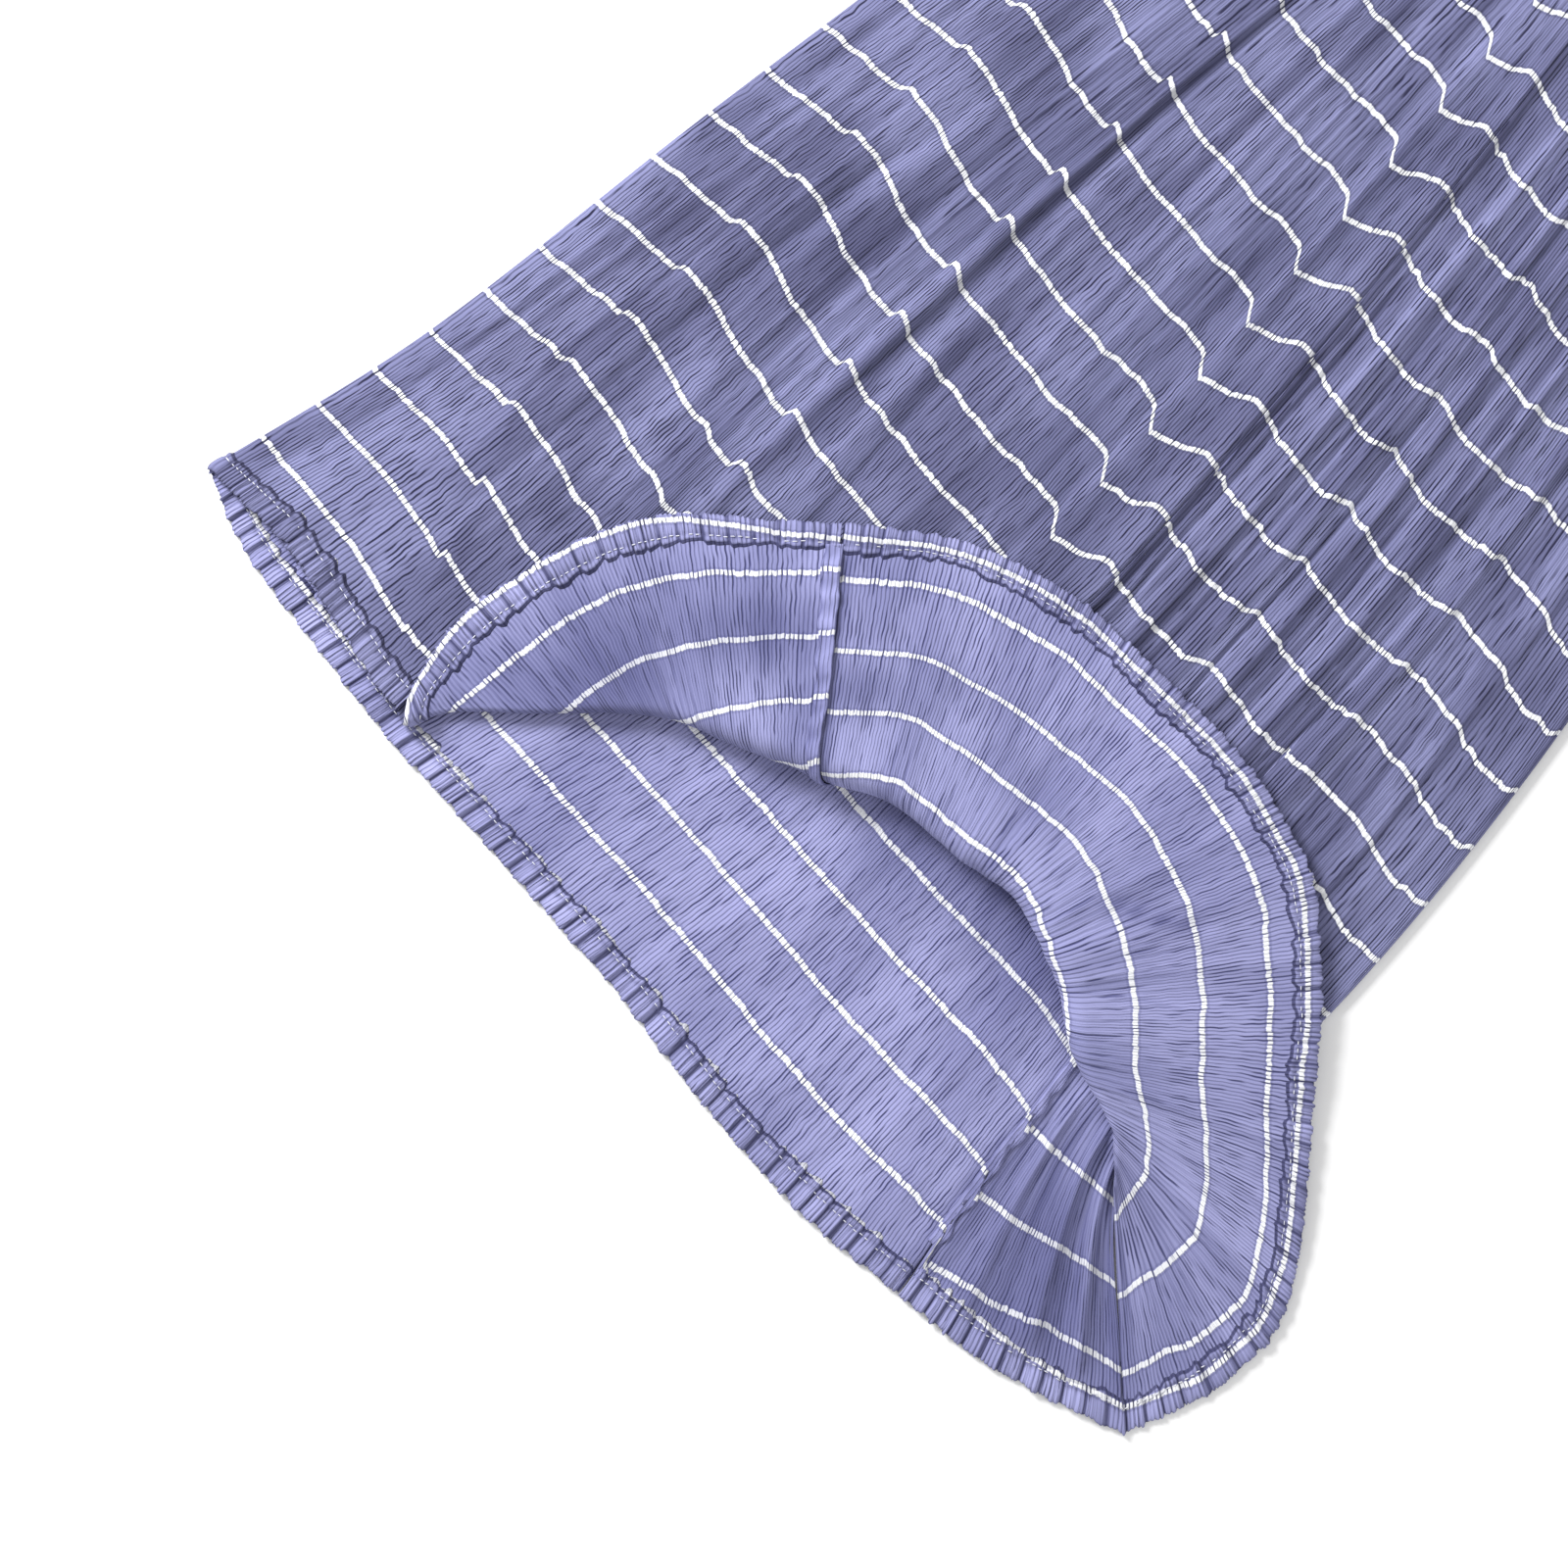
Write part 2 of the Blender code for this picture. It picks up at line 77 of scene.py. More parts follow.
print("the solids stand", SHIFT.round(1), "mm from the pattern's own origin")

# %% [markdown]
# How the cloth lies is kept in short tables, one row for each place along the hem. A turned row has the
# hem point, the fold where the cloth turns back, and the middle of its way to the waist. A flat row goes
# straight up. A smooth curve runs through the rows, so a few numbers give a whole skirt.

# %% How the cloth lies
TURNED = (
    "along", "hem_x", "hem_y", "hem_stripe", "fold_x", "fold_y", "fold_stripe",
    "roll", "lift", "mid_x", "mid_y", "mid_stripe", "waist_x",
)
FLAP_LEFT = [
    (0, -74, 193, 0.25, 5, 104, 4.35, 9.0, 9.5, 33, 261, 9, 2),
    (30, -101, 170, 0.20, -16, 97, 4.00, 8.0, 9.5, 8, 259, 9, -9),
    (70, -132, 144, 0.14, -43, 87, 3.45, 6.5, 9.0, -22, 263, 9, -22),
    (110, -152, 113, 0.14, -65, 79, 3.00, 5.0, 8.0, -52, 268, 9, -36),
    (150, -165, 75, 0.14, -87, 64, 2.50, 3.8, 7.5, -85, 273, 9, -47),
    (183, -171, 42, 0.14, -110, 42, 1.90, 2.8, 7.5, -108, 276, 9, -54),
    (213, -167, 12, 0.18, -143, 12, 1.00, 2.0, 8.0, -127, 279, 9, -63),
    (236, -163, -4, 0.25, -156, -8, 0.25, 2.4, 8.6, -140, 281, 9, -70),
    (244, -171, -11, 0.25, -164, -14, -0.02, 2.0, 8.6, -145, 282, 9, -73),
]
FLAP_RIGHT = [
    (1005, 302, -20, 0.30, 217, 70, 3.60, 2.4, 0.7, 240, 185, 7.2, 155),
    (1028, 311, 1, 0.28, 213, 72, 3.60, 2.4, 1.0, 236, 187, 7.3, 148),
    (1055, 319, 27, 0.38, 209, 74, 3.62, 2.4, 1.5, 228, 191, 7.4, 140),
    (1082, 321, 54, 0.42, 205, 77, 3.66, 2.6, 2.2, 219, 197, 7.6, 132),
    (1108, 313, 78, 0.40, 200, 80, 3.72, 2.8, 3.0, 207, 206, 7.8, 124),
    (1149, 290, 112, 0.36, 186, 85, 3.88, 3.8, 4.5, 187, 222, 8.2, 113),
    (1195, 261, 148, 0.30, 162, 92, 4.05, 6.5, 6.5, 164, 241, 8.7, 101),
    (1254, 223, 193, 0.26, 138, 108, 4.20, 9.0, 9.0, 146, 253, 9, 88),
    (1310, 179, 227, 0.26, 122, 115, 4.25, 10.0, 9.5, 127, 254, 9, 76),
    (1378, 113, 241, 0.26, 96, 123, 4.40, 10.0, 9.5, 103, 256, 9, 59),
    (1449, 42, 242, 0.26, 72, 119, 4.60, 10.0, 9.5, 80, 256, 9, 42),
    (1514, -21, 228, 0.27, 39, 118, 4.65, 9.5, 9.5, 55, 257, 9, 23),
    (1579, -74, 193, 0.28, 5, 104, 4.35, 9.0, 9.5, 33, 261, 9, 2),
]
FLAT = (
    "along", "hem_x", "hem_y", "hem_stripe", "low_x", "low_y",
    "mid_x", "mid_y", "mid_stripe", "waist_x",
)
FRONT_LEFT = [
    (244, -163, -6, 0.25, -155, 117, -145, 282, 9, -73),
    (260, -179, -4, 0.25, -169, 118, -156, 283, 9, -79),
    (290, -211, 4, 0.25, -196, 123, -178, 288, 9, -94),
    (335, -262, 15, 0.25, -237, 129, -212, 291, 9, -122),
    (385, -302, 15, 0.10, -272, 129, -247, 290, 9, -154),
]
BACK_LEFT = [
    (385, -302, 15, 0.10, -272, 129, -247, 290, 9, -154),
    (430, -264, -1, -0.15, -236, 125, -215, 288, 9, -135),
    (480, -215, -10, -0.18, -187, 122, -172, 284, 9, -105),
    (535, -160, -18, -0.18, -130, 118, -122, 280, 9, -75),
    (600, -97, -23, -0.18, -70, 113, -68, 275, 9, -42),
    (690, -8, -31, -0.18, 8, 105, 5, 268, 9, 0),
    (775, 79, -44, -0.18, 80, 100, 75, 262, 9, 50),
    (830, 132, -47, -0.16, 130, 97, 118, 259, 9, 78),
    (883, 184, -44, -0.15, 171, 89, 160, 256, 9, 105),
]
BACK_RIGHT = [
    (883, 184, -44, 0.52, 171, 89, 160, 256, 9, 105),
    (925, 224, -41, 0.35, 190, 86, 190, 240, 8.5, 125),
    (965, 263, -33, 0.18, 206, 84, 217, 212, 7.8, 141),
    (1005, 302, -20, 0.30, 218, 82, 240, 185, 7.2, 155),
]
# Long soft pleats: place along the hem, half width, height, and the stripe where they start.
PLEATS = [
    (0, 20, 2.0, 4.0), (43, 14, 1.6, 5.0), (120, 16, 1.2, 6.0), (194, 15, 3.2, 2.5), (304, 17, 1.6, 1.0),
    (352, 14, 0.8, 1.0), (1130, 24, 1.8, 6.0), (1215, 24, 2.2, 6.0), (1300, 26, 2.4, 6.0),
    (1375, 24, 2.2, 6.0), (1440, 22, 2.0, 6.0), (1505, 20, 2.2, 5.0), (1579, 20, 2.0, 4.0),
]
PLEAT_GROWTH = 4.0


def columns(names, rows):
    return dict(zip(names, np.array(rows, float).T))


tables = {
    "flap_left": columns(TURNED, FLAP_LEFT), "flap_right": columns(TURNED, FLAP_RIGHT),
    "front_left": columns(FLAT, FRONT_LEFT), "back_left": columns(FLAT, BACK_LEFT),
    "back_right": columns(FLAT, BACK_RIGHT),
}
print("tables with", sum(len(table["along"]) for table in tables.values()), "rows")

# %% [markdown]
# The curve through the rows must never overshoot them, or the hem would ripple where the cloth is
# straight. A monotone cubic does that: where the rows turn, its slope is zero.

# %% Smooth curves through the tables


def ease(x, knots, values):
    """A smooth curve through the knots that never overshoots them."""
    step = [b - a for a, b in zip(knots, knots[1:])]
    rise = [(b - a) / h for a, b, h in zip(values, values[1:], step)]
    slope = [rise[0]]
    for before, after in zip(rise, rise[1:]):
        both = before * after
        mean = 2.0 * both / np.where(both > 0, before + after, 1.0)
        slope.append(np.where(both > 0, mean, 0.0))
    slope.append(rise[-1])
    out = values[0] + slope[0] * (x - knots[0])
    for i, h in enumerate(step):
        u = (x - knots[i]) / h
        inside = (1 + 2 * u) * (1 - u) ** 2 * values[i] + u * u * (3 - 2 * u) * values[i + 1]
        inside = inside + h * u * (1 - u) * ((1 - u) * slope[i] - u * slope[i + 1])
        out = np.where(u >= 0, inside, out)
    beyond = values[-1] + slope[-1] * (x - knots[-1])
    return np.where(x > knots[-1], beyond, out)


def soft_step(x):
    x = np.clip(x, 0.0, 1.0)
    return x * x * (3 - 2 * x)


TABLE_MARGIN, TABLE_STEP, TUBE_MARGIN = 60.0, 0.5, 50.0


def finely(table):
    """The table's smooth curves, read off every half millimetre."""
    along = table["along"]
    places = np.arange(along[0] - TABLE_MARGIN, along[-1] + TABLE_MARGIN, TABLE_STEP)
    return {name: ease(places, along, table[name]) for name in table}


def row_at(table, along):
    """The table's values at any place."""
    return {name: np.interp(along, table["along"], table[name]) for name in table}


# Each stretch of the tube: its first and last place, how it lies, and its curves.
STRETCHES = [
    (-TUBE_MARGIN, FLAP_START, "turned", finely(tables["flap_left"])),
    (FLAP_START, LEFT_FOLD, "front", finely(tables["front_left"])),
    (LEFT_FOLD, BACK_SEAM, "back", finely(tables["back_left"])),
    (BACK_SEAM, RIGHT_FOLD, "back", finely(tables["back_right"])),
    (RIGHT_FOLD, HEM_ROUND + TUBE_MARGIN, "turned", finely(tables["flap_right"])),
]


def pleat_height(along, up):
    height = np.zeros_like(up)
    for place, half, tall, start in PLEATS:
        near = np.clip(np.abs(along - place) / half, 0, 1)
        grown = soft_step((up / STRIPE_PITCH - start) / PLEAT_GROWTH)
        height = height + tall * grown * (0.5 + 0.5 * np.cos(math.pi * near))
    return height


def front_height(along, up, hem):
    lifted = HEM_LIFT * (1 - soft_step((up - hem - HEM_DEPTH) / HEM_EASE))
    return FRONT_HEIGHT + lifted + pleat_height(along, up)


# %% [markdown]
# Turned cloth goes up the front as a sheet, rolls over the fold on a half circle, and comes back towards
# the viewer as a leg that settles on the front. The roll is wide in the middle of the crescent and
# almost nothing at its two tips.

# %% Turned cloth and flat cloth
# The way out at the fold's tip, its least turn, how fast a leg settles, and how far past its hem it goes.
TIP_WAY, LEAST_SHARPNESS = (-0.82, 0.57), 0.4
SETTLING, LEG_OVERRUN = 12.0, 1.2
# A quarter turn where nothing rolls, the shortest leg, and how gently the folds of flat cloth begin.
NO_ROLL, LEAST_LEG = 3.0, 2.0
FRONT_FOLD_EASE, CLOSING = 80.0, 8.0


def quarter_turn(row):
    """The cloth in a quarter of the fold, and the directions that it turns between."""
    down = np.array([row["fold_x"] - row["mid_x"], row["fold_y"] - row["mid_y"]])
    out = np.array([row["hem_x"] - row["fold_x"], row["hem_y"] - row["fold_y"]])
    down = down / np.linalg.norm(down, axis=0)
    length = np.linalg.norm(out, axis=0)
    out = np.where(length > 1.0, out / np.maximum(length, 1.0), np.array(TIP_WAY)[:, None])
    turn = down - out
    sharp = np.maximum(np.linalg.norm(turn, axis=0) / 2, LEAST_SHARPNESS)
    across = turn / np.linalg.norm(turn, axis=0)
    return 0.5 * math.pi * row["roll"] / sharp, across, (down + out) / 2


def turned_cloth(table, along, up):
    row = row_at(table, along)
    quarter, across, slide = quarter_turn(row)
    hem = row["hem_stripe"] * STRIPE_PITCH
    fold = row["fold_stripe"] * STRIPE_PITCH
    axis = np.array([row["fold_x"], row["fold_y"]]) - across * row["roll"]
    start = fold + quarter
    knots = [start, row["mid_stripe"] * STRIPE_PITCH, WAIST_LINE]
    sheet_up = np.maximum(up, start)
    waist_y = WAIST_Y + WAIST_TILT * row["waist_x"]
    sheet = np.array([
        ease(sheet_up, knots, [axis[0], row["mid_x"], row["waist_x"]]),
        ease(sheet_up, knots, [axis[1], row["mid_y"], waist_y]),
    ])
    turn = np.clip((start - up) / (2 * quarter), 0, 1)
    bulge = across * row["roll"] * np.sin(math.pi * turn) + slide * 2 * quarter * turn
    leg = np.clip((fold - quarter - up) / np.maximum(fold - quarter - hem, 1.0), 0, LEG_OVERRUN)
    landing = axis + slide * 2 * quarter
    reach = np.array([row["hem_x"], row["hem_y"]]) - landing
    x, y = sheet + bulge + reach * leg
    leg = np.minimum(leg, 1)
    base = front_height(along, sheet_up, hem)
    top = base + 2 * row["roll"]
    height = base + row["roll"] * (1 - np.cos(math.pi * turn))
    settled = 1 - (1 - leg) ** (1 + SETTLING / row["roll"] ** 2)
    height = height + (row["lift"] - top) * settled
    height = height + FLAP_CROWN * np.sin(math.pi * leg) * (row["roll"] / 10)
    return np.array([x, y, height])


def flat_cloth(table, along, up, facing):
    row = row_at(table, along)
    hem = row["hem_stripe"] * STRIPE_PITCH
    knots = [hem, LOW_LINE, row["mid_stripe"] * STRIPE_PITCH, WAIST_LINE]
    waist_y = WAIST_Y + WAIST_TILT * row["waist_x"]
    x = ease(up, knots, [row["hem_x"], row["low_x"], row["mid_x"], row["waist_x"]])
    y = ease(up, knots, [row["hem_y"], row["low_y"], row["mid_y"], waist_y])
    if facing == "front":
        return np.array([x, y, front_height(along, up, hem)])
    return np.array([x, y, np.full_like(x, BACK_HEIGHT)])


def loose_lie(along, up):
    """Where the cloth lies, before its side folds are rounded."""
    out = np.zeros((3,) + along.shape)
    for first, last, way, table in STRETCHES:
        here = (along >= first) & (along < last)
        if here.any():
            if way == "turned":
                out[:, here] = turned_cloth(table, along[here], up[here])
            else:
                out[:, here] = flat_cloth(table, along[here], up[here], way)
    return out


def hem_and_fold(along):
    """How far up the cloth its hem and its fold lie, and a quarter turn of the fold."""
    hem, fold, quarter = np.zeros_like(along), np.zeros_like(along), np.full_like(along, NO_ROLL)
    for first, last, way, table in STRETCHES:
        here = (along >= first) & (along < last)
        if not here.any():
            continue
        row = row_at(table, along[here])
        hem[here] = row["hem_stripe"] * STRIPE_PITCH
        if way == "turned":
            quarter[here] = quarter_turn(row)[0]
            fold[here] = row["fold_stripe"] * STRIPE_PITCH
        elif way == "front":
            fold[here] = LOW_LINE * soft_step((along[here] - first) / FRONT_FOLD_EASE)
        else:
            fold[here] = LOW_LINE
    return hem, np.maximum(fold, hem + quarter + LEAST_LEG), quarter


def lie(along, up):
    """Where the middle of the cloth lies, with rounded side folds. Shape (3, ...)."""
    along, up = np.broadcast_arrays(np.asarray(along, float), np.asarray(up, float))
    out = loose_lie(along, up)
    for fold, outward in ((LEFT_FOLD, -1.0), (RIGHT_FOLD, 1.0)):
        near = np.abs(along - fold) <= SIDE_TURN
        if not near.any():
            continue
        place = np.full(int(near.sum()), fold)
        edge = loose_lie(place, up[near])
        one = loose_lie(place - SIDE_TURN, up[near])[2]
        other = loose_lie(place + SIDE_TURN, up[near])[2]
        angle = 0.5 * math.pi * outward * (along[near] - fold) / SIDE_TURN
        bottom, top = (other, one) if outward < 0 else (one, other)
        inward = np.abs(top - bottom) / 2 * (1 - np.cos(angle))
        closed = np.ones_like(angle)
        if outward > 0:
            _, fold_up, quarter = hem_and_fold(place)
            closed = soft_step((up[near] - fold_up - quarter) / CLOSING)
        for k in (0, 1):
            out[k][near] += (edge[k] - out[k][near]) * closed
        out[0][near] -= outward * inward * closed
        out[2][near] = bottom + (top - bottom) * (1 + np.sin(angle)) / 2
    return out


def outside_way(along, up):
    """The way that the outside of the cloth faces."""
    step = 0.6
    round_tube = lie(along + step, up) - lie(along - step, up)
    up_cloth = lie(along, up + step) - lie(along, up - step)
    way = -np.cross(round_tube, up_cloth, axis=0)
    return way / np.maximum(np.linalg.norm(way, axis=0), 1e-9)


middle = lie(np.array([304.0]), np.array([200.0]))
print("a point of the front:", middle[:, 0].round(1))

# %% [markdown]
# Real crinkled cloth is never even. Uneven heights come from a smooth random field: random numbers on a
# lattice, eased from one to the next. The seed is fixed, so the skirt is the same each time.

# %% Unevenness
LATTICE = (211, 197)
LATTICE_START = 500
random_fields = {}


def uneven(along, up, across, length, seed):
    """A smooth random field from -1 to 1 with cells of a given size."""
    if seed not in random_fields:
        random_fields[seed] = np.random.default_rng(seed).uniform(-1, 1, LATTICE)
    field = random_fields[seed]
    u, v = along / across + LATTICE_START, up / length + LATTICE_START
    i, j = np.floor(u).astype(int), np.floor(v).astype(int)
    s, t = soft_step(u - i), soft_step(v - j)
    i, j, after, above = i % LATTICE[0], j % LATTICE[1], (i + 1) % LATTICE[0], (j + 1) % LATTICE[1]
    low = field[i, j] * (1 - s) + field[after, j] * s
    high = field[i, above] * (1 - s) + field[after, above] * s
    return low * (1 - t) + high * t


def sway(line, size, seed):
    """A random wave along a line, from -1 to 1."""
    return uneven(line, 0 * line, size, 9, seed)


# Creases: along and up at both ends, half width, and height (a trough is below zero).
# Each has one soft side and one steep side, as a pressed crease has.
CREASES = [
    (1566, 190, 1572, 420, 6, -2.6), (20, 150, 14, 560, 10, 1.6), (58, 170, 50, 500, 7, -1.2),
    (92, 150, 96, 520, 9, 1.2), (196, 60, 186, 480, 6, -2.2), (150, 120, 150, 520, 7, -1.4),
    (225, 40, 214, 420, 8, 1.3), (262, 20, 246, 430, 6, -1.2), (300, 20, 286, 430, 8, -1.5),
    (318, 20, 305, 400, 7, 1.1), (345, 30, 330, 350, 7, 1.2), (366, 20, 350, 330, 6, -1.1),
    (1545, 190, 1552, 500, 10, -1.7), (1508, 190, 1516, 500, 8, 1.2), (1470, 190, 1480, 480, 8, -1.8),
    (1440, 200, 1448, 480, 7, 1.1), (1408, 200, 1412, 460, 7, -1.7), (1372, 190, 1380, 440, 8, 1.2),
    (1337, 190, 1345, 420, 8, -1.9), (1296, 190, 1304, 400, 8, 1.3), (1255, 190, 1262, 380, 9, -1.6),
    (1214, 180, 1222, 360, 8, 1.3), (1174, 170, 1182, 330, 8, -1.5), (60, 20, 52, 130, 9, -0.9),
    (110, 15, 100, 95, 8, 0.9), (1330, 20, 1336, 125, 9, -0.8), (1420, 20, 1424, 130, 10, 0.8),
    (1250, 20, 1262, 120, 9, 0.9), (1170, 20, 1180, 110, 8, -0.9), (520, 10, 540, 170, 9, 0.5),
    (640, 5, 650, 150, 12, -0.4), (700, 20, 690, 160, 8, 0.6), (800, 10, 770, 140, 10, 0.5),
    (860, 20, 845, 120, 7, -0.4), (900, 25, 897, 110, 6, 1.6), (915, 20, 912, 120, 7, -3.4),
    (934, 20, 932, 120, 6, 1.9), (950, 20, 952, 120, 8, -4.4), (965, 20, 968, 115, 5, 1.8),
    (979, 20, 984, 115, 6, -3.8), (994, 25, 997, 110, 5, 1.8), (1338, 102, 1286, 60, 6, 3.2),
    (1262, 118, 1240, 70, 7, 1.2),
]
# Spots painted darker, where the crinkles are drawn tightly together and as painted shade under the rolled
# fold, in the folds of the back and beside the seams: along, up, reach along, reach up, and how dark.
TIGHT_AND_SHADED_SPOTS = [
    (232, 12, 20, 26, 0.9), (130, 60, 80, 50, 1.0), (40, 62, 60, 26, 1.0), (8, 100, 22, 30, 0.5),
    (1560, 90, 46, 18, 0.9), (1520, 75, 60, 16, 0.55), (1326, 94, 7, 6, 1.0), (1315, 87, 7, 6, 1.0),
    (1304, 78, 6, 6, 1.0), (1294, 68, 5, 7, 0.9), (1440, 95, 50, 14, 0.45), (955, 50, 70, 90, 0.85),
    (1545, 60, 60, 60, 0.4), (600, 40, 80, 60, 0.3), (1030, 100, 16, 30, 0.6), (890, 60, 5, 80, 0.7),
    (929, 84, 10, 50, 1.0), (952, 40, 6, 50, 0.9), (974, 60, 6, 60, 1.0), (988, 70, 4, 60, 0.9),
    (1040, 112, 12, 14, 0.9), (1001, 62, 9, 70, 1.0), (1003, 62, 4, 80, 1.0), (1013, 70, 5, 50, 1.0),
    (450, 50, 50, 50, 0.4), (800, 152, 120, 34, 1.0), (640, 158, 70, 24, 0.7), (1571, 300, 6, 75, 1.0),
    (1571, 190, 5, 60, 0.9), (196, 200, 5, 160, 0.8), (1052, 80, 22, 45, 0.4), (0, 300, 3.0, 2000, 0.6),
    (878, 300, 4.0, 2000, 0.6), (1575, 100, 4.0, 2000, 0.9),
]


# Shares of a crease's half width or length, and how much painted shade its steep side gets per millimetre.
CREASE_REACH, CREASE_END, CREASE_WANDER = 4.0, 0.08, 0.45
STEEP_SIDE, STEEP_CORE, STEEP_MIDDLE = 0.5, 0.32, 0.55
CREASE_SHADE_PER_MM, CREASE_SHADE_HEIGHT = 0.38, 1.8


def creases(along, up):
    """The height of the creases, and the painted shade on their steep sides."""
    height, tight_and_shade = np.zeros_like(along), np.zeros_like(along)
    for a, u, b, v, half, tall in CREASES:
        reach = CREASE_REACH * half
        near = (along > min(a, b) - reach) & (along < max(a, b) + reach)
        if not near.any():
            continue
        here, there = along[near], up[near]
        way = np.array([b - a, v - u], float)
        length = np.hypot(*way)
        share = ((here - a) * way[0] + (there - u) * way[1]) / length ** 2
        wander = CREASE_WANDER * half * uneven(there, here, 40, 500, int(a))
        off = ((here - a) * way[1] - (there - u) * way[0]) / length + wander
        end = soft_step((share + CREASE_END) / 0.2) * soft_step((1 + CREASE_END - share) / 0.2)
        end = end * (0.75 + 0.25 * uneven(there, here, 55, 500, int(b)))
        side = np.where(off > 0, STEEP_SIDE * half, half)
        height[near] += tall * end * np.exp(-(off / side) ** 2)
        core = 0.0 if tall < 0 else STEEP_MIDDLE * half
        steep = np.exp(-((off - core) / (STEEP_CORE * half)) ** 2)
        # Painted shade on the steep side, stronger for taller creases.
        dark = CREASE_SHADE_PER_MM * min(abs(tall), CREASE_SHADE_HEIGHT) * end * steep
        tight_and_shade[near] = np.maximum(tight_and_shade[near], dark)
    return height, tight_and_shade


def tightness_and_shade(along, up):
    """How dark the cloth is painted, from 0 to 1: tight crinkles, and painted shade in creases, folds and
    beside the seams.
    """
    _, tight_and_shade = creases(along, up)
    for place, level, wide, long, amount in TIGHT_AND_SHADED_SPOTS:
        spot = np.exp(-((along - place) / wide) ** 2 - ((up - level) / long) ** 2)
        tight_and_shade = np.maximum(tight_and_shade, amount * spot)
    _, fold, _ = hem_and_fold(along)
    outer = ((along < LEFT_FOLD) | (along > RIGHT_FOLD)) * soft_step((up - fold) / 10)
    # Long soft bands of painted shade for the soft folds, stronger on the front above the fold.
    fold_shade_bands = uneven(along, up, 8, 160, 91) + 0.6 * uneven(along, up, 4, 60, 93)
    fold_shade_bands = np.clip(1.2 * fold_shade_bands - 0.1, 0, 1) * (0.22 + 0.5 * outer)
    patchy = 0.85 + 0.15 * uneven(along, up, 6, 25, 92)
    return np.clip(tight_and_shade * patchy + fold_shade_bands * (1 - tight_and_shade), 0, 1)


# The back lies lower than its middle, and troughs of the front stop where they would reach it.
BACK_SINK, LEAST_SINK, DEEPEST = 0.95, 0.1, -2.4
TIP_WIDTH, TIP_SHARE, FLAP_SHARE = 90.0, 0.35, 0.65


def relief(along, up):
    """How far the cloth swells outwards from its plain lie, in millimetres."""
    along, up = np.broadcast_arrays(np.asarray(along, float), np.asarray(up, float))
    hem, fold, _ = hem_and_fold(along)
    swell = 0.65 * uneven(along, up, 22, 110, 3) + 0.42 * uneven(along, up, 8, 60, 5)
    swell = swell + 0.14 * uneven(along, up, 4.5, 14, 8)
    near_hem = 1 - soft_step((up - hem - HEM_DEPTH * 0.7) / 16)
    gather = 0.8 * uneven(along, up, 9.5, 40, 12) + 0.35 * uneven(along, up, 5, 30, 14)
    swell = swell * (1 - 0.6 * near_hem) + gather * near_hem
    swell = swell + creases(along, up)[0]
    back = (along > LEFT_FOLD) & (along < RIGHT_FOLD)
    side = np.minimum(np.abs(along - LEFT_FOLD), np.abs(along - RIGHT_FOLD))
    swell = swell * soft_step((side - 2) / 10)
    sunk = -np.maximum(BACK_SINK - swell, LEAST_SINK)
    turned = (along < FLAP_START) | (along > RIGHT_FOLD)
    above_fold = np.where(turned, soft_step((up - fold) / 14), 1.0)
    at_tip = np.where((along > RIGHT_FOLD) & (along < RIGHT_FOLD + TIP_WIDTH), TIP_SHARE, 1.0)
    front = np.maximum(swell, DEEPEST) * ((FLAP_SHARE + (1 - FLAP_SHARE) * above_fold) * at_tip)
    return np.where(back, sunk, front)


def on_cloth(along, up, *outs):
    """Places on the cloth, some way out from its middle (below zero is the inside)."""
    along, up = np.broadcast_arrays(np.asarray(along, float), np.asarray(up, float))
    middle, way, swell = lie(along, up), outside_way(along, up), relief(along, up)
    found = [middle + way * (swell + out) for out in outs]
    for grid in found:
        grid[2] = np.maximum(grid[2], 0.05)
    return found if len(found) > 1 else found[0]


swells = relief(np.arange(HEM_ROUND), 200.0)
print("relief runs from", swells.min().round(2), "to", swells.max().round(2), "mm")

# %% [markdown]
# One helper makes every cloth piece: it takes a grid of outer points and a grid of inner points, and
# joins them round the border into a closed thin shell. The cloth's own two directions become a UV map,
# in metres, and each point keeps marks, such as how tightly it is drawn in together with its painted
# shade, for the finishes to read.

# %% Making shells


def border_of(index):
    return np.concatenate([index[:, 0], index[-1, 1:], index[-2::-1, -1], index[0, -2:0:-1]])


def quads(*corners):
    return np.stack(corners, -1).reshape(-1, 4)


def crowding(grid, along):
    """How much narrower the cloth lies than it was cut, from 0 (as cut) to 1 (about 0.4 of its width)."""
    wide = np.linalg.norm(np.gradient(grid, axis=1), axis=0)
    cut = np.maximum(np.abs(np.gradient(along, axis=0)), 0.01)
    return soft_step((0.78 - wide / cut) / 0.36)


def shell_arrays(outer, inner, lay, tight_and_shade, start=0):
    """Points, faces, sides, cloth directions and marks of one closed shell.

    Outer and inner are grids of shape (3, rows, across). Marks are what the finishes read."""
    rows, across = outer.shape[1:]
    points = np.concatenate([outer.reshape(3, -1).T, inner.reshape(3, -1).T])
    index = np.arange(rows * across).reshape(rows, across)
    a, b, c, d = index[:-1, :-1], index[1:, :-1], index[1:, 1:], index[:-1, 1:]
    far = rows * across
    outside, inside = quads(a, d, c, b), quads(a, b, c, d) + far
    ring = border_of(index)
    after = np.roll(ring, -1)
    rim = quads(ring, after, after + far, ring + far)
    faces = np.concatenate([outside, inside, rim]) + start
    sides = np.concatenate([np.zeros(len(outside), int), np.ones(len(inside) + len(rim), int)])
    lays = np.tile(lay.reshape(2, -1).T, (2, 1))
    bend, wander = uneven(*lay, 24, 26, 101), uneven(*lay, 11, 40, 103)
    marks = np.stack([tight_and_shade, crowding(outer, lay[0]), bend, wander], axis=-1).reshape(-1, 4)
    return points, faces, sides, lays, np.tile(marks, (2, 1))


def add_object(name, data):
    thing = bpy.data.objects.new(name, data)
    bpy.context.scene.collection.objects.link(thing)
    return thing


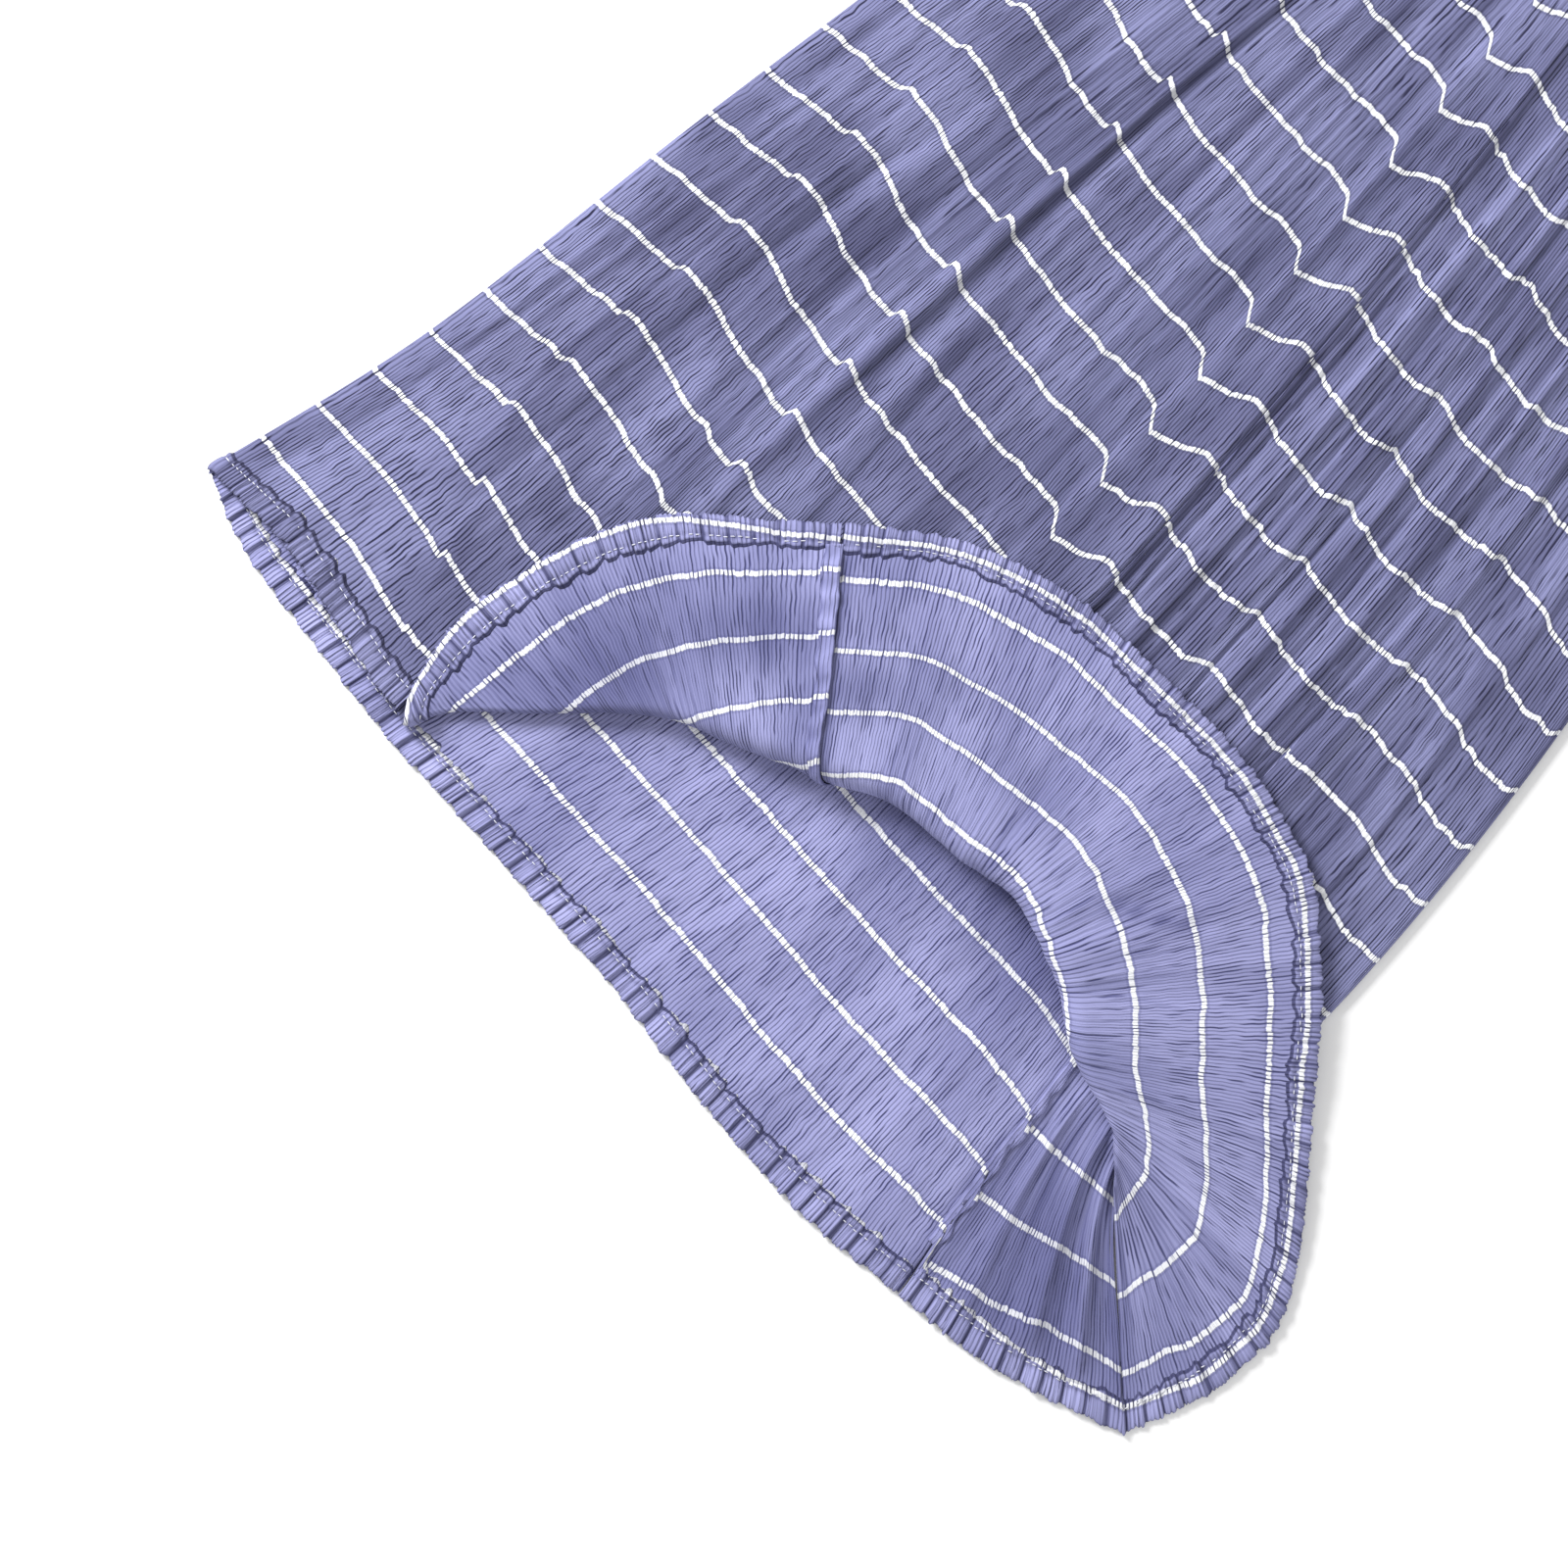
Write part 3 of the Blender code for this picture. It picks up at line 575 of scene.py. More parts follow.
def add_piece(name, nodes, points, faces, lays, finishes):
    """An object on the root body, in place of the solids that it names, with the finishes given to it.

    Its UV map keeps the cloth's own directions at each point."""
    mesh = bpy.data.meshes.new(name)
    mesh.from_pydata(((points + SHIFT) * MM).tolist(), [], faces)
    corners = np.fromiter((i for face in faces for i in face), int)
    layer = mesh.uv_layers.new(name="cloth")
    layer.data.foreach_set("uv", (lays[corners] * MM).ravel())
    mesh.shade_smooth()
    for finish in finishes:
        mesh.materials.append(finish)
    thing = add_object(name, mesh)
    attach(thing, "root")
    for node in nodes:
        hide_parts(node)
    print(name, "has", sum(len(face) - 2 for face in faces), "triangles")
    return thing


def make_piece(name, node, shells, finishes):
    """One object from several closed shells, with a finish for the outside and one for the inside."""
    made, start = [], 0
    for outer, inner, lay, tight_and_shade in shells:
        made.append(shell_arrays(outer, inner, lay, tight_and_shade, start))
        start += len(made[-1][0])
    points, faces, sides, lays, marks = (np.concatenate(part) for part in zip(*made))
    thing = add_piece(name, [node], points, faces.tolist(), lays, finishes)
    for k, mark in enumerate(("tight_and_shade", "crowded", "bend", "wander")):
        values = np.ascontiguousarray(marks[:, k], np.float32)
        thing.data.attributes.new(mark, "FLOAT", "POINT").data.foreach_set("value", values)
    sides = np.minimum(sides, len(finishes) - 1).astype(np.int32)
    thing.data.polygons.foreach_set("material_index", sides)
    return thing


# %% [markdown]
# Finishes are written as arithmetic. A value that changes over the cloth is a node's socket, so a small
# class lets sockets be added, taken away and multiplied like numbers, and a finish makes its own nodes.

# %% Writing finishes as sums


class Varying:
    """A number that changes over the cloth."""

    def __init__(self, finish, socket):
        self.finish = finish
        self.socket = socket

    def maths(self, operation, *terms):
        node = self.finish.node("ShaderNodeMath", {"operation": operation}, dict(enumerate(terms)))
        return Varying(self.finish, node.outputs[0])

    def __add__(self, other):
        return self.maths("ADD", self, other)

    __radd__ = __add__

    def __sub__(self, other):
        return self.maths("SUBTRACT", self, other)

    def __rsub__(self, other):
        return self.maths("SUBTRACT", other, self)

    def __mul__(self, other):
        return self.maths("MULTIPLY", self, other)

    __rmul__ = __mul__

    def __truediv__(self, other):
        return self.maths("DIVIDE", self, other)

    def sine(self):
        return self.maths("SINE", self)

    def size(self):
        return self.maths("ABSOLUTE", self)

    def to_nearest(self, pitch):
        """How far it is to the nearest multiple of the pitch."""
        return self.maths("PINGPONG", self, pitch / 2)

    def ramp(self, low, high):
        """A soft step from 0 at low to 1 at high."""
        settings = {"interpolation_type": "SMOOTHSTEP"}
        terms = {"Value": self, "From Min": low, "From Max": high}
        return Varying(self.finish, self.finish.node("ShaderNodeMapRange", settings, terms).outputs[0])


class Finish:
    """A material made of nodes."""

    def __init__(self, name):
        self.material = bpy.data.materials.new(name)
        self.material.use_nodes = True
        self.tree = self.material.node_tree
        self.shader = self.tree.nodes["Principled BSDF"]

    def node(self, kind, settings, terms):
        """A node of any kind: its settings first, then the values or links of its sockets."""
        made = self.tree.nodes.new(kind)
        for name, value in settings.items():
            setattr(made, name, value)
        self.fill(made, terms)
        return made

    def fill(self, node, terms):
        for name, value in terms.items():
            if isinstance(value, Varying):
                value = value.socket
            if isinstance(value, bpy.types.NodeSocket):
                self.tree.links.new(value, node.inputs[name])
            else:
                node.inputs[name].default_value = value

    def lay(self):
        """Along and up the cloth, in millimetres."""
        found = self.node("ShaderNodeUVMap", {"uv_map": "cloth"}, {})
        parts = self.node("ShaderNodeSeparateXYZ", {}, {0: found.outputs[0]})
        return Varying(self, parts.outputs[0]) * 1000, Varying(self, parts.outputs[1]) * 1000

    def mark(self, name):
        """A number that the mesh keeps at each point, such as how tightly the cloth is drawn in and how
        much painted shade it gets.
        """
        found = self.node("ShaderNodeAttribute", {"attribute_name": name}, {})
        return Varying(self, found.outputs["Fac"])

    def noise(self, x, y, detail):
        """Soft random patches from 0 to 1. More detail adds finer patches to them."""
        settings = {"noise_dimensions": "2D"}
        place = self.node("ShaderNodeCombineXYZ", {}, {0: x, 1: y}).outputs[0]
        terms = {"Vector": place, "Scale": 1.0, "Detail": detail, "Roughness": 0.5}
        return Varying(self, self.node("ShaderNodeTexNoise", settings, terms).outputs[0])

    def blend(self, share, first, second):
        """The first colour, turning into the second as the share goes from 0 to 1."""
        settings = {"data_type": "RGBA"}
        return self.node("ShaderNodeMix", settings, {0: share, 6: first, 7: second}).outputs[2]


# %% [markdown]
# The cloth is pleated by heat into fine ridges that run up the skirt, about 2 mm apart, wavy and uneven,
# with a deeper narrow valley every few ridges. White stripes cross them. Where a valley runs through a
# stripe it breaks it into beads. All this is finer than the mesh, so it is bump, and colour with painted
# shade in the valleys; creases, folds and gaps get painted shade from a mark on the mesh.

# %% The crinkled striped cloth


def rgb(red, green, blue):
    return (red, green, blue, 1.0)


RIDGE_PITCH, CROWDED_PITCH = 2.1, 5.4
STRIPE_HALF, STRIPE_EDGE = 1.0, 1.5
STRIPE_WHITE = (0.86, 0.87, 0.90)
BUMP_DEPTH = 0.7 * MM


# Kink is how wavy the ridges are, then how much painted shade the valleys get, and hold how dark tight
# cloth and painted shade get.
def crinkled_cloth(name, light, dark, deep, kink, valley_shade_depth, hold):
    """A finish for crinkled cloth, from two tones that vary in random patches, and a deep colour for
    painted shade.
    """
    finish = Finish(name)
    along, up = finish.lay()
    bend, wander = finish.mark("bend") * 0.2, finish.mark("wander")
    shiver = (finish.noise(along / 10, up / 6, 0.0) - 0.5) * (0.7 + 1.6 * kink * bend.ramp(-0.02, 0.12))
    across = along + bend * 3.5 + shiver * 0.75
    crowded = finish.mark("crowded")
    narrow, broad = finish.noise(across / 1.9, up / 21, 1.0), finish.noise(across / 5.2, up / 24 + 7, 1.0)
    pick = narrow + (broad - narrow) * crowded
    fine = (across / RIDGE_PITCH).to_nearest(1.0).ramp(0.02, 0.30)
    wide = (across / CROWDED_PITCH).to_nearest(1.0).ramp(0.02, 0.30)
    groove = 1 - (fine + (wide - fine) * crowded)
    valley = groove * pick.ramp(0.50, 0.66)
    off = (up + wander * (1.6 * kink) + (pick - 0.5) * 1.6).to_nearest(STRIPE_PITCH)
    bead = 1 - groove * pick.ramp(0.40, 0.56)
    stripe = 1 - off.ramp(STRIPE_HALF, STRIPE_EDGE)
    shade = finish.noise(along / 45, up / 110, 1.0)
    tone = finish.blend(shade.ramp(0.30, 0.70), rgb(*dark), rgb(*light))
    # Painted shade in the crinkle valleys and grooves.
    valley_shade = valley_shade_depth * (valley * 0.85 + groove * 0.38 + (pick - 0.5).size() * 0.5)
    tight_and_shade = finish.mark("tight_and_shade")
    tone = finish.blend(valley_shade, tone, rgb(*deep))
    # Painted shade from the mesh mark, deepest in the grooves.
    tone = finish.blend(tight_and_shade * (hold + (0.95 - hold) * groove), tone, rgb(*deep))
    # A thin painted shadow beside each raised stripe.
    beside = (1 - (off - 2.0).size().ramp(0.1, 0.8)) * 0.3
    tone = finish.blend(beside, tone, rgb(*deep))
    # The white beads turn to the painted shade colour in the valleys and where the mark paints shade.
    white = finish.blend(bead.ramp(0.1, 0.75) - 0.5 * tight_and_shade, rgb(*deep), rgb(*STRIPE_WHITE))
    colour = finish.blend(stripe, tone, white)
    height = 1 - groove * 0.5 - valley * 0.8 + stripe * 0.3
    terms = {"Strength": 0.8, "Distance": BUMP_DEPTH, "Height": height}
    bump = finish.node("ShaderNodeBump", {}, terms)
    finish.fill(finish.shader, {
        "Base Color": colour, "Normal": bump.outputs[0], "Roughness": 0.80 + 0.12 * valley,
        "Specular IOR Level": 0.25, "Sheen Weight": 0.1, "Sheen Roughness": 0.5,
    })
    return finish.material


# The third colour of each finish is painted shade, for the valleys and the mesh mark.
outer_cloth = crinkled_cloth(
    "outer_cloth", (0.226, 0.234, 0.425), (0.130, 0.134, 0.260), (0.022, 0.022, 0.062), 0.7, 1.1, 0.72,
)
inner_cloth = crinkled_cloth(
    "inner_cloth", (0.345, 0.350, 0.610), (0.240, 0.245, 0.455), (0.055, 0.058, 0.165), 0.45, 0.9, 0.8,
)
print("finishes:", outer_cloth.name, "and", inner_cloth.name)

# %% [markdown]
# Each panel is one piece of cloth, but its front lies in full view and most of its back is hidden, so
# the two stretches have rows of their own: close together near the hem, the fold and what shows, and far
# apart where nothing shows. They meet at the side fold.

# %% The two panels
OPEN_LINE, HIDDEN_LINE = 600.0, 260.0


def front_rows(along):
    hem, fold, quarter = hem_and_fold(along)
    stops = [hem, hem + np.minimum(HEM_DEPTH, 0.6 * (fold - quarter - hem)), fold - quarter]
    return spread(stops + [fold + quarter, OPEN_LINE, CLOTH_TOP], (5, 34, 14, 124, 22))


def back_rows(along):
    hem = hem_and_fold(along)[0]
    return spread([hem, hem + HEM_DEPTH, HIDDEN_LINE, CLOTH_TOP], (5, 76, 14))


def spread(stops, counts):
    """Rows of points evenly spread between the stops, for every column."""
    stops = [stop[:, None] for stop in np.broadcast_arrays(*stops)]
    parts = stops[:1]
    for low, high, count in zip(stops, stops[1:], counts):
        parts.append(low + (high - low) * np.linspace(0, 1, count + 1)[1:])
    return np.concatenate(parts, axis=1)


# How far the stripes of the front stray from even rows, in millimetres. A pleat makes a sudden jump.
STRAY = [
    (0, 1), (9, 3), (22, -1), (42, -5), (51, 4.5), (72, 5), (99, 1.5), (141, 0), (185, 0.5), (204, 4.5),
    (207.5, -1), (245, 0), (263, 1.5), (293, 4), (317, 5), (321, 1), (345, 0), (383, -1), (1110, 5),
    (1124, 7), (1188, 6), (1256, 2), (1316, 1), (1370, 3), (1412, 6), (1450, 0), (1508, 0),
]


def stray(along, up):
    """How far a stripe is out of its row. On the flap only the cloth right of the seam strays."""
    _, fold, quarter = hem_and_fold(along)
    front = (along < LEFT_FOLD) | (along > RIGHT_FOLD)
    share = soft_step((up - fold + quarter) / (2 * quarter))
    flap = np.interp(up / STRIPE_PITCH, (0.4, 1, 2, 3, 5), (0, 2.5, 7, 5.5, 5))
    flap = flap * np.interp(along, (1380, 1440, 1500, 1579), (0, 0.6, 1, 1))
    return (np.interp(along, *np.array(STRAY, float).T) * share + flap * (1 - share)) * front


def cloth_shell(places, rows_of):
    up = rows_of(places)
    along = np.repeat(places[:, None], up.shape[1], axis=1)
    outer, inner = on_cloth(along, up, CLOTH_WALL / 2, -CLOTH_WALL / 2)
    return outer, inner, np.stack([along, up - stray(along, up)]), tightness_and_shade(along, up)


def steps(first, last, pace):
    return np.linspace(first, last, max(2, round((last - first) / pace) + 1))


def up_to_fold(first, fold, pace, short):
    """Columns that end at a side fold, the last three a little short of it."""
    return np.concatenate([steps(first, fold - SIDE_TURN, pace), fold - np.array(short)])


def from_fold(fold, last, pace, past):
    """Columns that start at a side fold, the first three a little past it."""
    return np.concatenate([fold + np.array(past), steps(fold + SIDE_TURN, last, pace)])


left_front = up_to_fold(SEAM_HALF, LEFT_FOLD, 2.75, (2.7, 1.4, 1e-6))
left_back = from_fold(LEFT_FOLD, BACK_SEAM - SEAM_HALF, 3.4, (0, 1.3, 2.6))
right_back = up_to_fold(BACK_SEAM + SEAM_HALF, RIGHT_FOLD, 2.6, (2.6, 1.3, 1e-6))
right_front = from_fold(RIGHT_FOLD, HEM_ROUND - SEAM_HALF, 2.95, (0, 1.3, 2.7))
left_panel = make_piece("left_panel_cloth", "left_panel", [
    cloth_shell(left_front, front_rows), cloth_shell(left_back, back_rows),
], [outer_cloth, inner_cloth])
right_panel = make_piece("right_panel_cloth", "right_panel", [
    cloth_shell(right_back, back_rows), cloth_shell(right_front, front_rows),
], [outer_cloth, inner_cloth])

# %% [markdown]
# The hem is turned inwards once and stitched, and the stitching gathers it: fine ridges run across it,
# bunched into puffs with a step between them, and its inner edge stands off and casts a thin shadow. That
# shadow, the gaps between puffs and the grooves are also painted shade. It is real relief here, because it
# makes the ragged outline of the skirt.

# %% The gathered hem
PUFF_LENGTH, GATHER_PITCH = 10.5, 2.4
FLAP_TIP, LOWER_START = 236.0, 246.0
PUFF_HEIGHT, PUFF_REACH, GROOVE_DEPTH, HEM_CLEAR = 2.0, 1.5, 1.0, 0.08


def gathers(along, seed):
    """The puffs along a gathered hem, the grooves in them and the gaps between them, from 0 to 1.

    A puff rises slowly and drops suddenly on to the next one, as shingles do."""
    phase = along / PUFF_LENGTH + 0.9 * sway(along, 37, seed)
    share = phase - np.floor(phase)
    puff = share ** 0.7 * np.clip((1 - share) / 0.13, 0, 1)
    puff = puff * (0.74 + 0.26 * sway(along, 17, seed + 1))
    wave = along / GATHER_PITCH + 0.9 * sway(along, 8, seed + 2)
    groove = (0.5 + 0.5 * np.cos(2 * math.pi * wave)) ** 4
    groove = groove * (0.6 + 0.4 * sway(along, 2.2, seed + 3))
    gap = np.clip(np.exp(-(share / 0.10) ** 2) + np.exp(-((1 - share) / 0.07) ** 2), 0, 1)
    return puff, groove, gap


# Steps across the hem: share of its depth, share of its height, and how much painted shade the step gets.
HEM_STEPS = [
    (-0.05, 0.0, 0.35), (0.0, 0.35, 0.1), (0.06, 0.65, 0.0), (0.16, 0.9, 0.0), (0.30, 1.0, 0.0),
    (0.46, 0.98, 0.0), (0.60, 0.85, 0.05), (0.69, 0.6, 0.2), (0.76, 0.42, 0.35), (0.83, 0.6, 0.2),
    (0.91, 0.72, 0.1), (0.97, 0.6, 0.3), (1.0, 0.35, 1.0), (1.05, 0.03, 1.0), (1.12, 0.0, 1.0),
]
# How far from the edge the white stripe crosses the turned hem, by place along it.
HEM_STRIPE = [
    (0, 7.5), (60, 2.5), (80, 0.6), (244, 0.6), (385, 11), (430, 11.5), (560, 12), (600, 14), (883, 14),
    (960, 11.5), (1005, 9.8), (1040, 7), (1100, 6.5), (1195, 6.5), (1300, 5.5), (1579, 6),
]


def hem_shell(first, last, side, seed, tall=1.0):
    """One stretch of gathered hem, on the inside (-1) or the outside (1) of the cloth."""
    line = steps(first, last, 0.5)
    puff, groove, gap = (part[:, None] for part in gathers(line, seed))
    share, crown, dark = np.array(HEM_STEPS).T
    along = np.repeat(line[:, None], len(share), axis=1)
    hem = hem_and_fold(line)[0][:, None]
    ragged = sway(line, 3, seed + 5)[:, None]
    wavy = sway(line, 11, seed + 6)[:, None]
    deep = HEM_DEPTH + 2.0 * (puff - 0.5) + 0.8 * ragged + 0.9 * wavy
    reach = PUFF_REACH * puff - GROOVE_DEPTH * groove + 0.6 * ragged
    up = hem - reach * np.clip(1 - 1.6 * share, 0, 1.1) + deep * share
    full = PUFF_HEIGHT * puff - GROOVE_DEPTH * groove * (0.4 + 0.6 * puff)
    high = np.maximum(0.35 + tall * (full + 0.35 * wavy), 0.12) * crown
    clear = CLOTH_WALL / 2 + HEM_CLEAR
    top = on_cloth(along, up, side * (clear + high + 0.04))
    bottom = on_cloth(along, up, side * (clear - 0.3 * (share < 0)))
    lip = np.clip((share - 0.9) * 12, 0, 1)
    # Painted shade in the gaps between puffs and in the grooves, and a painted shadow under the inner
    # edge.
    tight_and_shade = np.clip(0.9 * gap + 0.65 * groove * (1 - lip) + dark + 0.1 * wavy, 0, 1)
    stripe = np.interp(line, *np.array(HEM_STRIPE, float).T)[:, None] if side < 0 else 16.0
    lay = np.stack([along, up - hem - stripe])
    return (top, bottom, lay, tight_and_shade) if side > 0 else (bottom, top, lay, tight_and_shade)


# The third colour is painted shade.
hem_cloth = crinkled_cloth(
    "hem_cloth", (0.355, 0.360, 0.630), (0.250, 0.255, 0.470), (0.030, 0.031, 0.095), 0.3, 0.5, 0.92,
)
# The outer frill has the outer cloth's colours, made lighter as painted light on its raised puffs; the
# third colour is painted shade.
outer_hem_cloth_lit = crinkled_cloth(
    "outer_hem_cloth_lit", (0.270, 0.276, 0.490), (0.170, 0.175, 0.330), (0.022, 0.022, 0.062), 0.3, 0.5, 0.92,
)
flap_hem = make_piece("left_hem_flap_gathers", "left_hem_flap", [
    hem_shell(SEAM_HALF, FLAP_TIP, -1, 31),
], [hem_cloth])
lower_hem = make_piece("left_hem_lower_gathers", "left_hem_lower", [
    hem_shell(LOWER_START, LEFT_FOLD, -1, 41, 0.4), hem_shell(LOWER_START, LEFT_FOLD, 1, 47, 1.35),
    hem_shell(LEFT_FOLD, BACK_SEAM - SEAM_HALF, -1, 53),
], [outer_hem_cloth_lit, hem_cloth])
right_hem = make_piece("right_hem_gathers", "right_hem", [
    hem_shell(BACK_SEAM + SEAM_HALF, HEM_ROUND - SEAM_HALF, -1, 61),
], [hem_cloth])

# %% [markdown]
# Both seams are overlocked together and pressed to one side, so on the inside a narrow band of cloth
# with a bumpy thread edge lies beside each seam. Its edge is scalloped, more so on the back.

# %% The overlocked seams
SEAM_WIDTH, SEAM_TOP, SEAM_CLEAR = 8.0, CLOTH_TOP - 4.0, 0.1
SCALLOP_PITCH = 17.0


def seam_shell(start, low, scallop, seed):
    """A band of pressed cloth that starts at a place along the hem and wanders a little."""
    up = steps(low, SEAM_TOP, 1.3)[:, None]
    share = np.array([0.0, 0.04, 0.12, 0.3, 0.5, 0.7, 0.86, 0.96, 1.0])[None, :]
    wave = 0.5 + 0.5 * np.sin(2 * math.pi * (up / SCALLOP_PITCH + 0.6 * sway(up, 30, seed)))
    wander = 1.2 * sway(up, 24, seed + 2) + 0.5 * sway(up, 5, seed + 3)
    broad = SEAM_WIDTH * (1 + scallop * (wave - 0.5)) + 0.4 * sway(up, 3, seed + 4)
    along = start + wander + broad * share
    crown = np.clip(share / 0.05, 0, 1) * np.clip((1 - share) / 0.05, 0, 1)
    thread = 0.3 * uneven(up, 0 * up + share * 40, 3.5, 12, seed + 1)
    lift = (0.8 + 0.8 * wave * (1 - share) + thread) * crown
    clear = CLOTH_WALL / 2 + SEAM_CLEAR
    top = on_cloth(along, up, -(clear + np.maximum(lift, 0.08)))
    bottom = on_cloth(along, up, -clear + 0 * along)
    # Painted shade along both edges of the band and in the hollows of its scallops.
    edge = 1 - np.clip(np.minimum(share, 1 - share) / 0.06, 0, 1)
    tight_and_shade = np.clip(0.95 * edge + 0.5 * (1 - wave) * (0.3 + 0.7 * share), 0, 1)
    return bottom, top, np.stack([along, up + 0 * along + 1.5]), tight_and_shade


# Its third colour is painted shade.
seam_cloth = crinkled_cloth(
    "seam_cloth", (0.290, 0.295, 0.540), (0.190, 0.195, 0.390), (0.060, 0.062, 0.170), 0.5, 0.3, 0.9,
)
front_seam = make_piece("front_seam_overlock", "front_seam_allowance", [
    seam_shell(-1.8, 18, 0.15, 71),
], [seam_cloth])
back_seam = make_piece("back_seam_overlock", "back_seam_allowance", [
    seam_shell(BACK_SEAM - 4.5, 22, 0.45, 77),
], [seam_cloth])

# %% [markdown]
# White machine stitches hold the hem. Each one is a small flat bead of thread, and they are joined into
# one mesh. Some sink between the gathers, so they are left out at random.

# %% Hem stitches
STITCH_PITCH, STITCH_LONG, STITCH_WIDE, STITCH_THICK = 3.3, 2.5, 0.45, 0.28
STITCH_ROW, STITCH_SUNK, STITCH_TAPER = 0.76, 0.18, 0.75
STITCH_RING = ((-0.5, 0.0), (-0.3, 0.5), (0.3, 0.5), (0.5, 0.0), (0.3, -0.5), (-0.3, -0.5))


def stitch_line(first, last, side, seed):
    """Points and faces of a row of stitches on the gathered hem."""
    picks = np.random.default_rng(seed)
    places = np.arange(first, last, STITCH_PITCH)
    places = places[picks.uniform(size=len(places)) > STITCH_SUNK]
    up = hem_and_fold(places)[0] + STITCH_ROW * HEM_DEPTH + 0.25 * picks.normal(size=len(places))
    puff, _, _ = gathers(places, seed)
    high = CLOTH_WALL / 2 + 0.2 + (0.35 + PUFF_HEIGHT * puff) * 0.45
    points, faces = [], []
    for lift, small in ((0.0, 1.0), (STITCH_THICK, STITCH_TAPER)):
        for x, y in STITCH_RING:
            beside, above = places + x * STITCH_LONG * small, up + y * STITCH_WIDE * small
            points.append(on_cloth(beside, above, side * (high + lift)).T)
    points = np.stack(points, axis=1).reshape(-1, 3)
    count = len(STITCH_RING)
    for base in range(0, len(points), 2 * count):
        faces.append([base + i for i in reversed(range(count))])
        faces.append([base + count + i for i in range(count)])
        for i in range(count):
            j = (i + 1) % count
            faces.append([base + i, base + j, base + count + j, base + count + i])
    return points, faces


def white_thread():
    finish = Finish("white_thread")
    along, up = finish.lay()
    twist = (along * 9 + up * 6).sine() * 0.5 + 0.5
    colour = finish.blend(twist, rgb(0.55, 0.56, 0.66), rgb(0.85, 0.86, 0.9))
    finish.fill(finish.shader, {"Base Color": colour, "Roughness": 0.55 + 0.2 * twist})
    return finish.material


def join_stitches(name, lines):
    points, faces, count = [], [], 0
    for line_points, line_faces in lines:
        faces += [[i + count for i in face] for face in line_faces]
        points.append(line_points)
        count += len(line_points)
    points = np.concatenate(points)
    add_piece(name, [], points, faces, points[:, :2], [white_thread()])


join_stitches("hem_stitches", [
    stitch_line(8, 232, -1, 31), stitch_line(250, 383, 1, 47), stitch_line(390, 880, -1, 53),
    stitch_line(888, 1574, -1, 61),
])

# %% [markdown]
# The waist is outside the photograph. A plain band of gathered elastic closes the skirt there: a flat
# tube with fine upright gathers, each a small ridge round the band.

# %% The waistband
BAND_WALL, BAND_GAP = 1.5, 0.3
BAND_COLUMNS, BAND_ROWS = 900, 15
BAND_GATHER, BAND_PITCH = 0.35, 3.9
LEAST_HEIGHT = 0.02


def band_line(places, half_height):
    """The middle line of the band, and the angle that it has turned through, at places round it."""
    left, right = WAIST_LEFT + half_height, WAIST_RIGHT - half_height
    bend = math.pi * half_height
    ends = np.cumsum([0, right - left, bend, right - left, bend])
    x = np.interp(places, ends, (right, left, left, right, right))
    return x, np.interp(places, ends, (0, 0, math.pi, math.pi, 2 * math.pi))


def band_faces(around, rows):
    """The faces of a tube with an outside, an inside and a rim at each end."""
    index = np.arange(around * rows).reshape(around, rows)
    after, far = np.roll(index, -1, axis=0), around * rows
    a, b, c, d = index[:, :-1], index[:, 1:], after[:, 1:], after[:, :-1]
    faces = [quads(a, b, c, d), quads(a, d, c, b) + far]
    for j, order in ((0, 1), (-1, -1)):
        rim = quads(index[:, j], after[:, j], after[:, j] + far, index[:, j] + far)
        faces.append(rim[:, ::order])
    return np.concatenate(faces)


def band_piece():
    half_height = (FRONT_HEIGHT + BACK_HEIGHT) / 2
    low, high = WAIST_Y * CLOTH_TOP / WAIST_LINE + BAND_GAP, WAIST_Y
    around = 2 * (WAIST_RIGHT - WAIST_LEFT - 2 * half_height) + 2 * math.pi * half_height
    places = np.linspace(0, around, BAND_COLUMNS, endpoint=False)
    levels = (high - low) * np.linspace(0, 1, BAND_ROWS)
    x, angle = band_line(places, half_height)
    wave = 2 * math.pi * places / BAND_PITCH + 1.3 * sway(places, 14, 5)
    gathered = half_height - 0.4 + BAND_GATHER * np.sin(wave)
    points = []
    for reach in (gathered, half_height - BAND_WALL):
        across = (x - np.sin(angle) * reach)[:, None] + 0 * levels
        height = np.maximum(half_height + np.cos(angle) * reach, LEAST_HEIGHT)[:, None] + 0 * levels
        points.append(np.stack([across, low + levels + WAIST_TILT * across, height], -1).reshape(-1, 3))
    faces = band_faces(BAND_COLUMNS, BAND_ROWS)
    lay = np.stack(np.meshgrid(places, 0.75 * levels + CLOTH_TOP + 4, indexing="ij"), -1).reshape(-1, 2)
    add_piece(
        "waistband_elastic", ["waistband"],
        np.concatenate(points), faces.tolist(), np.tile(lay, (2, 1)), [outer_cloth],
    )


band_piece()
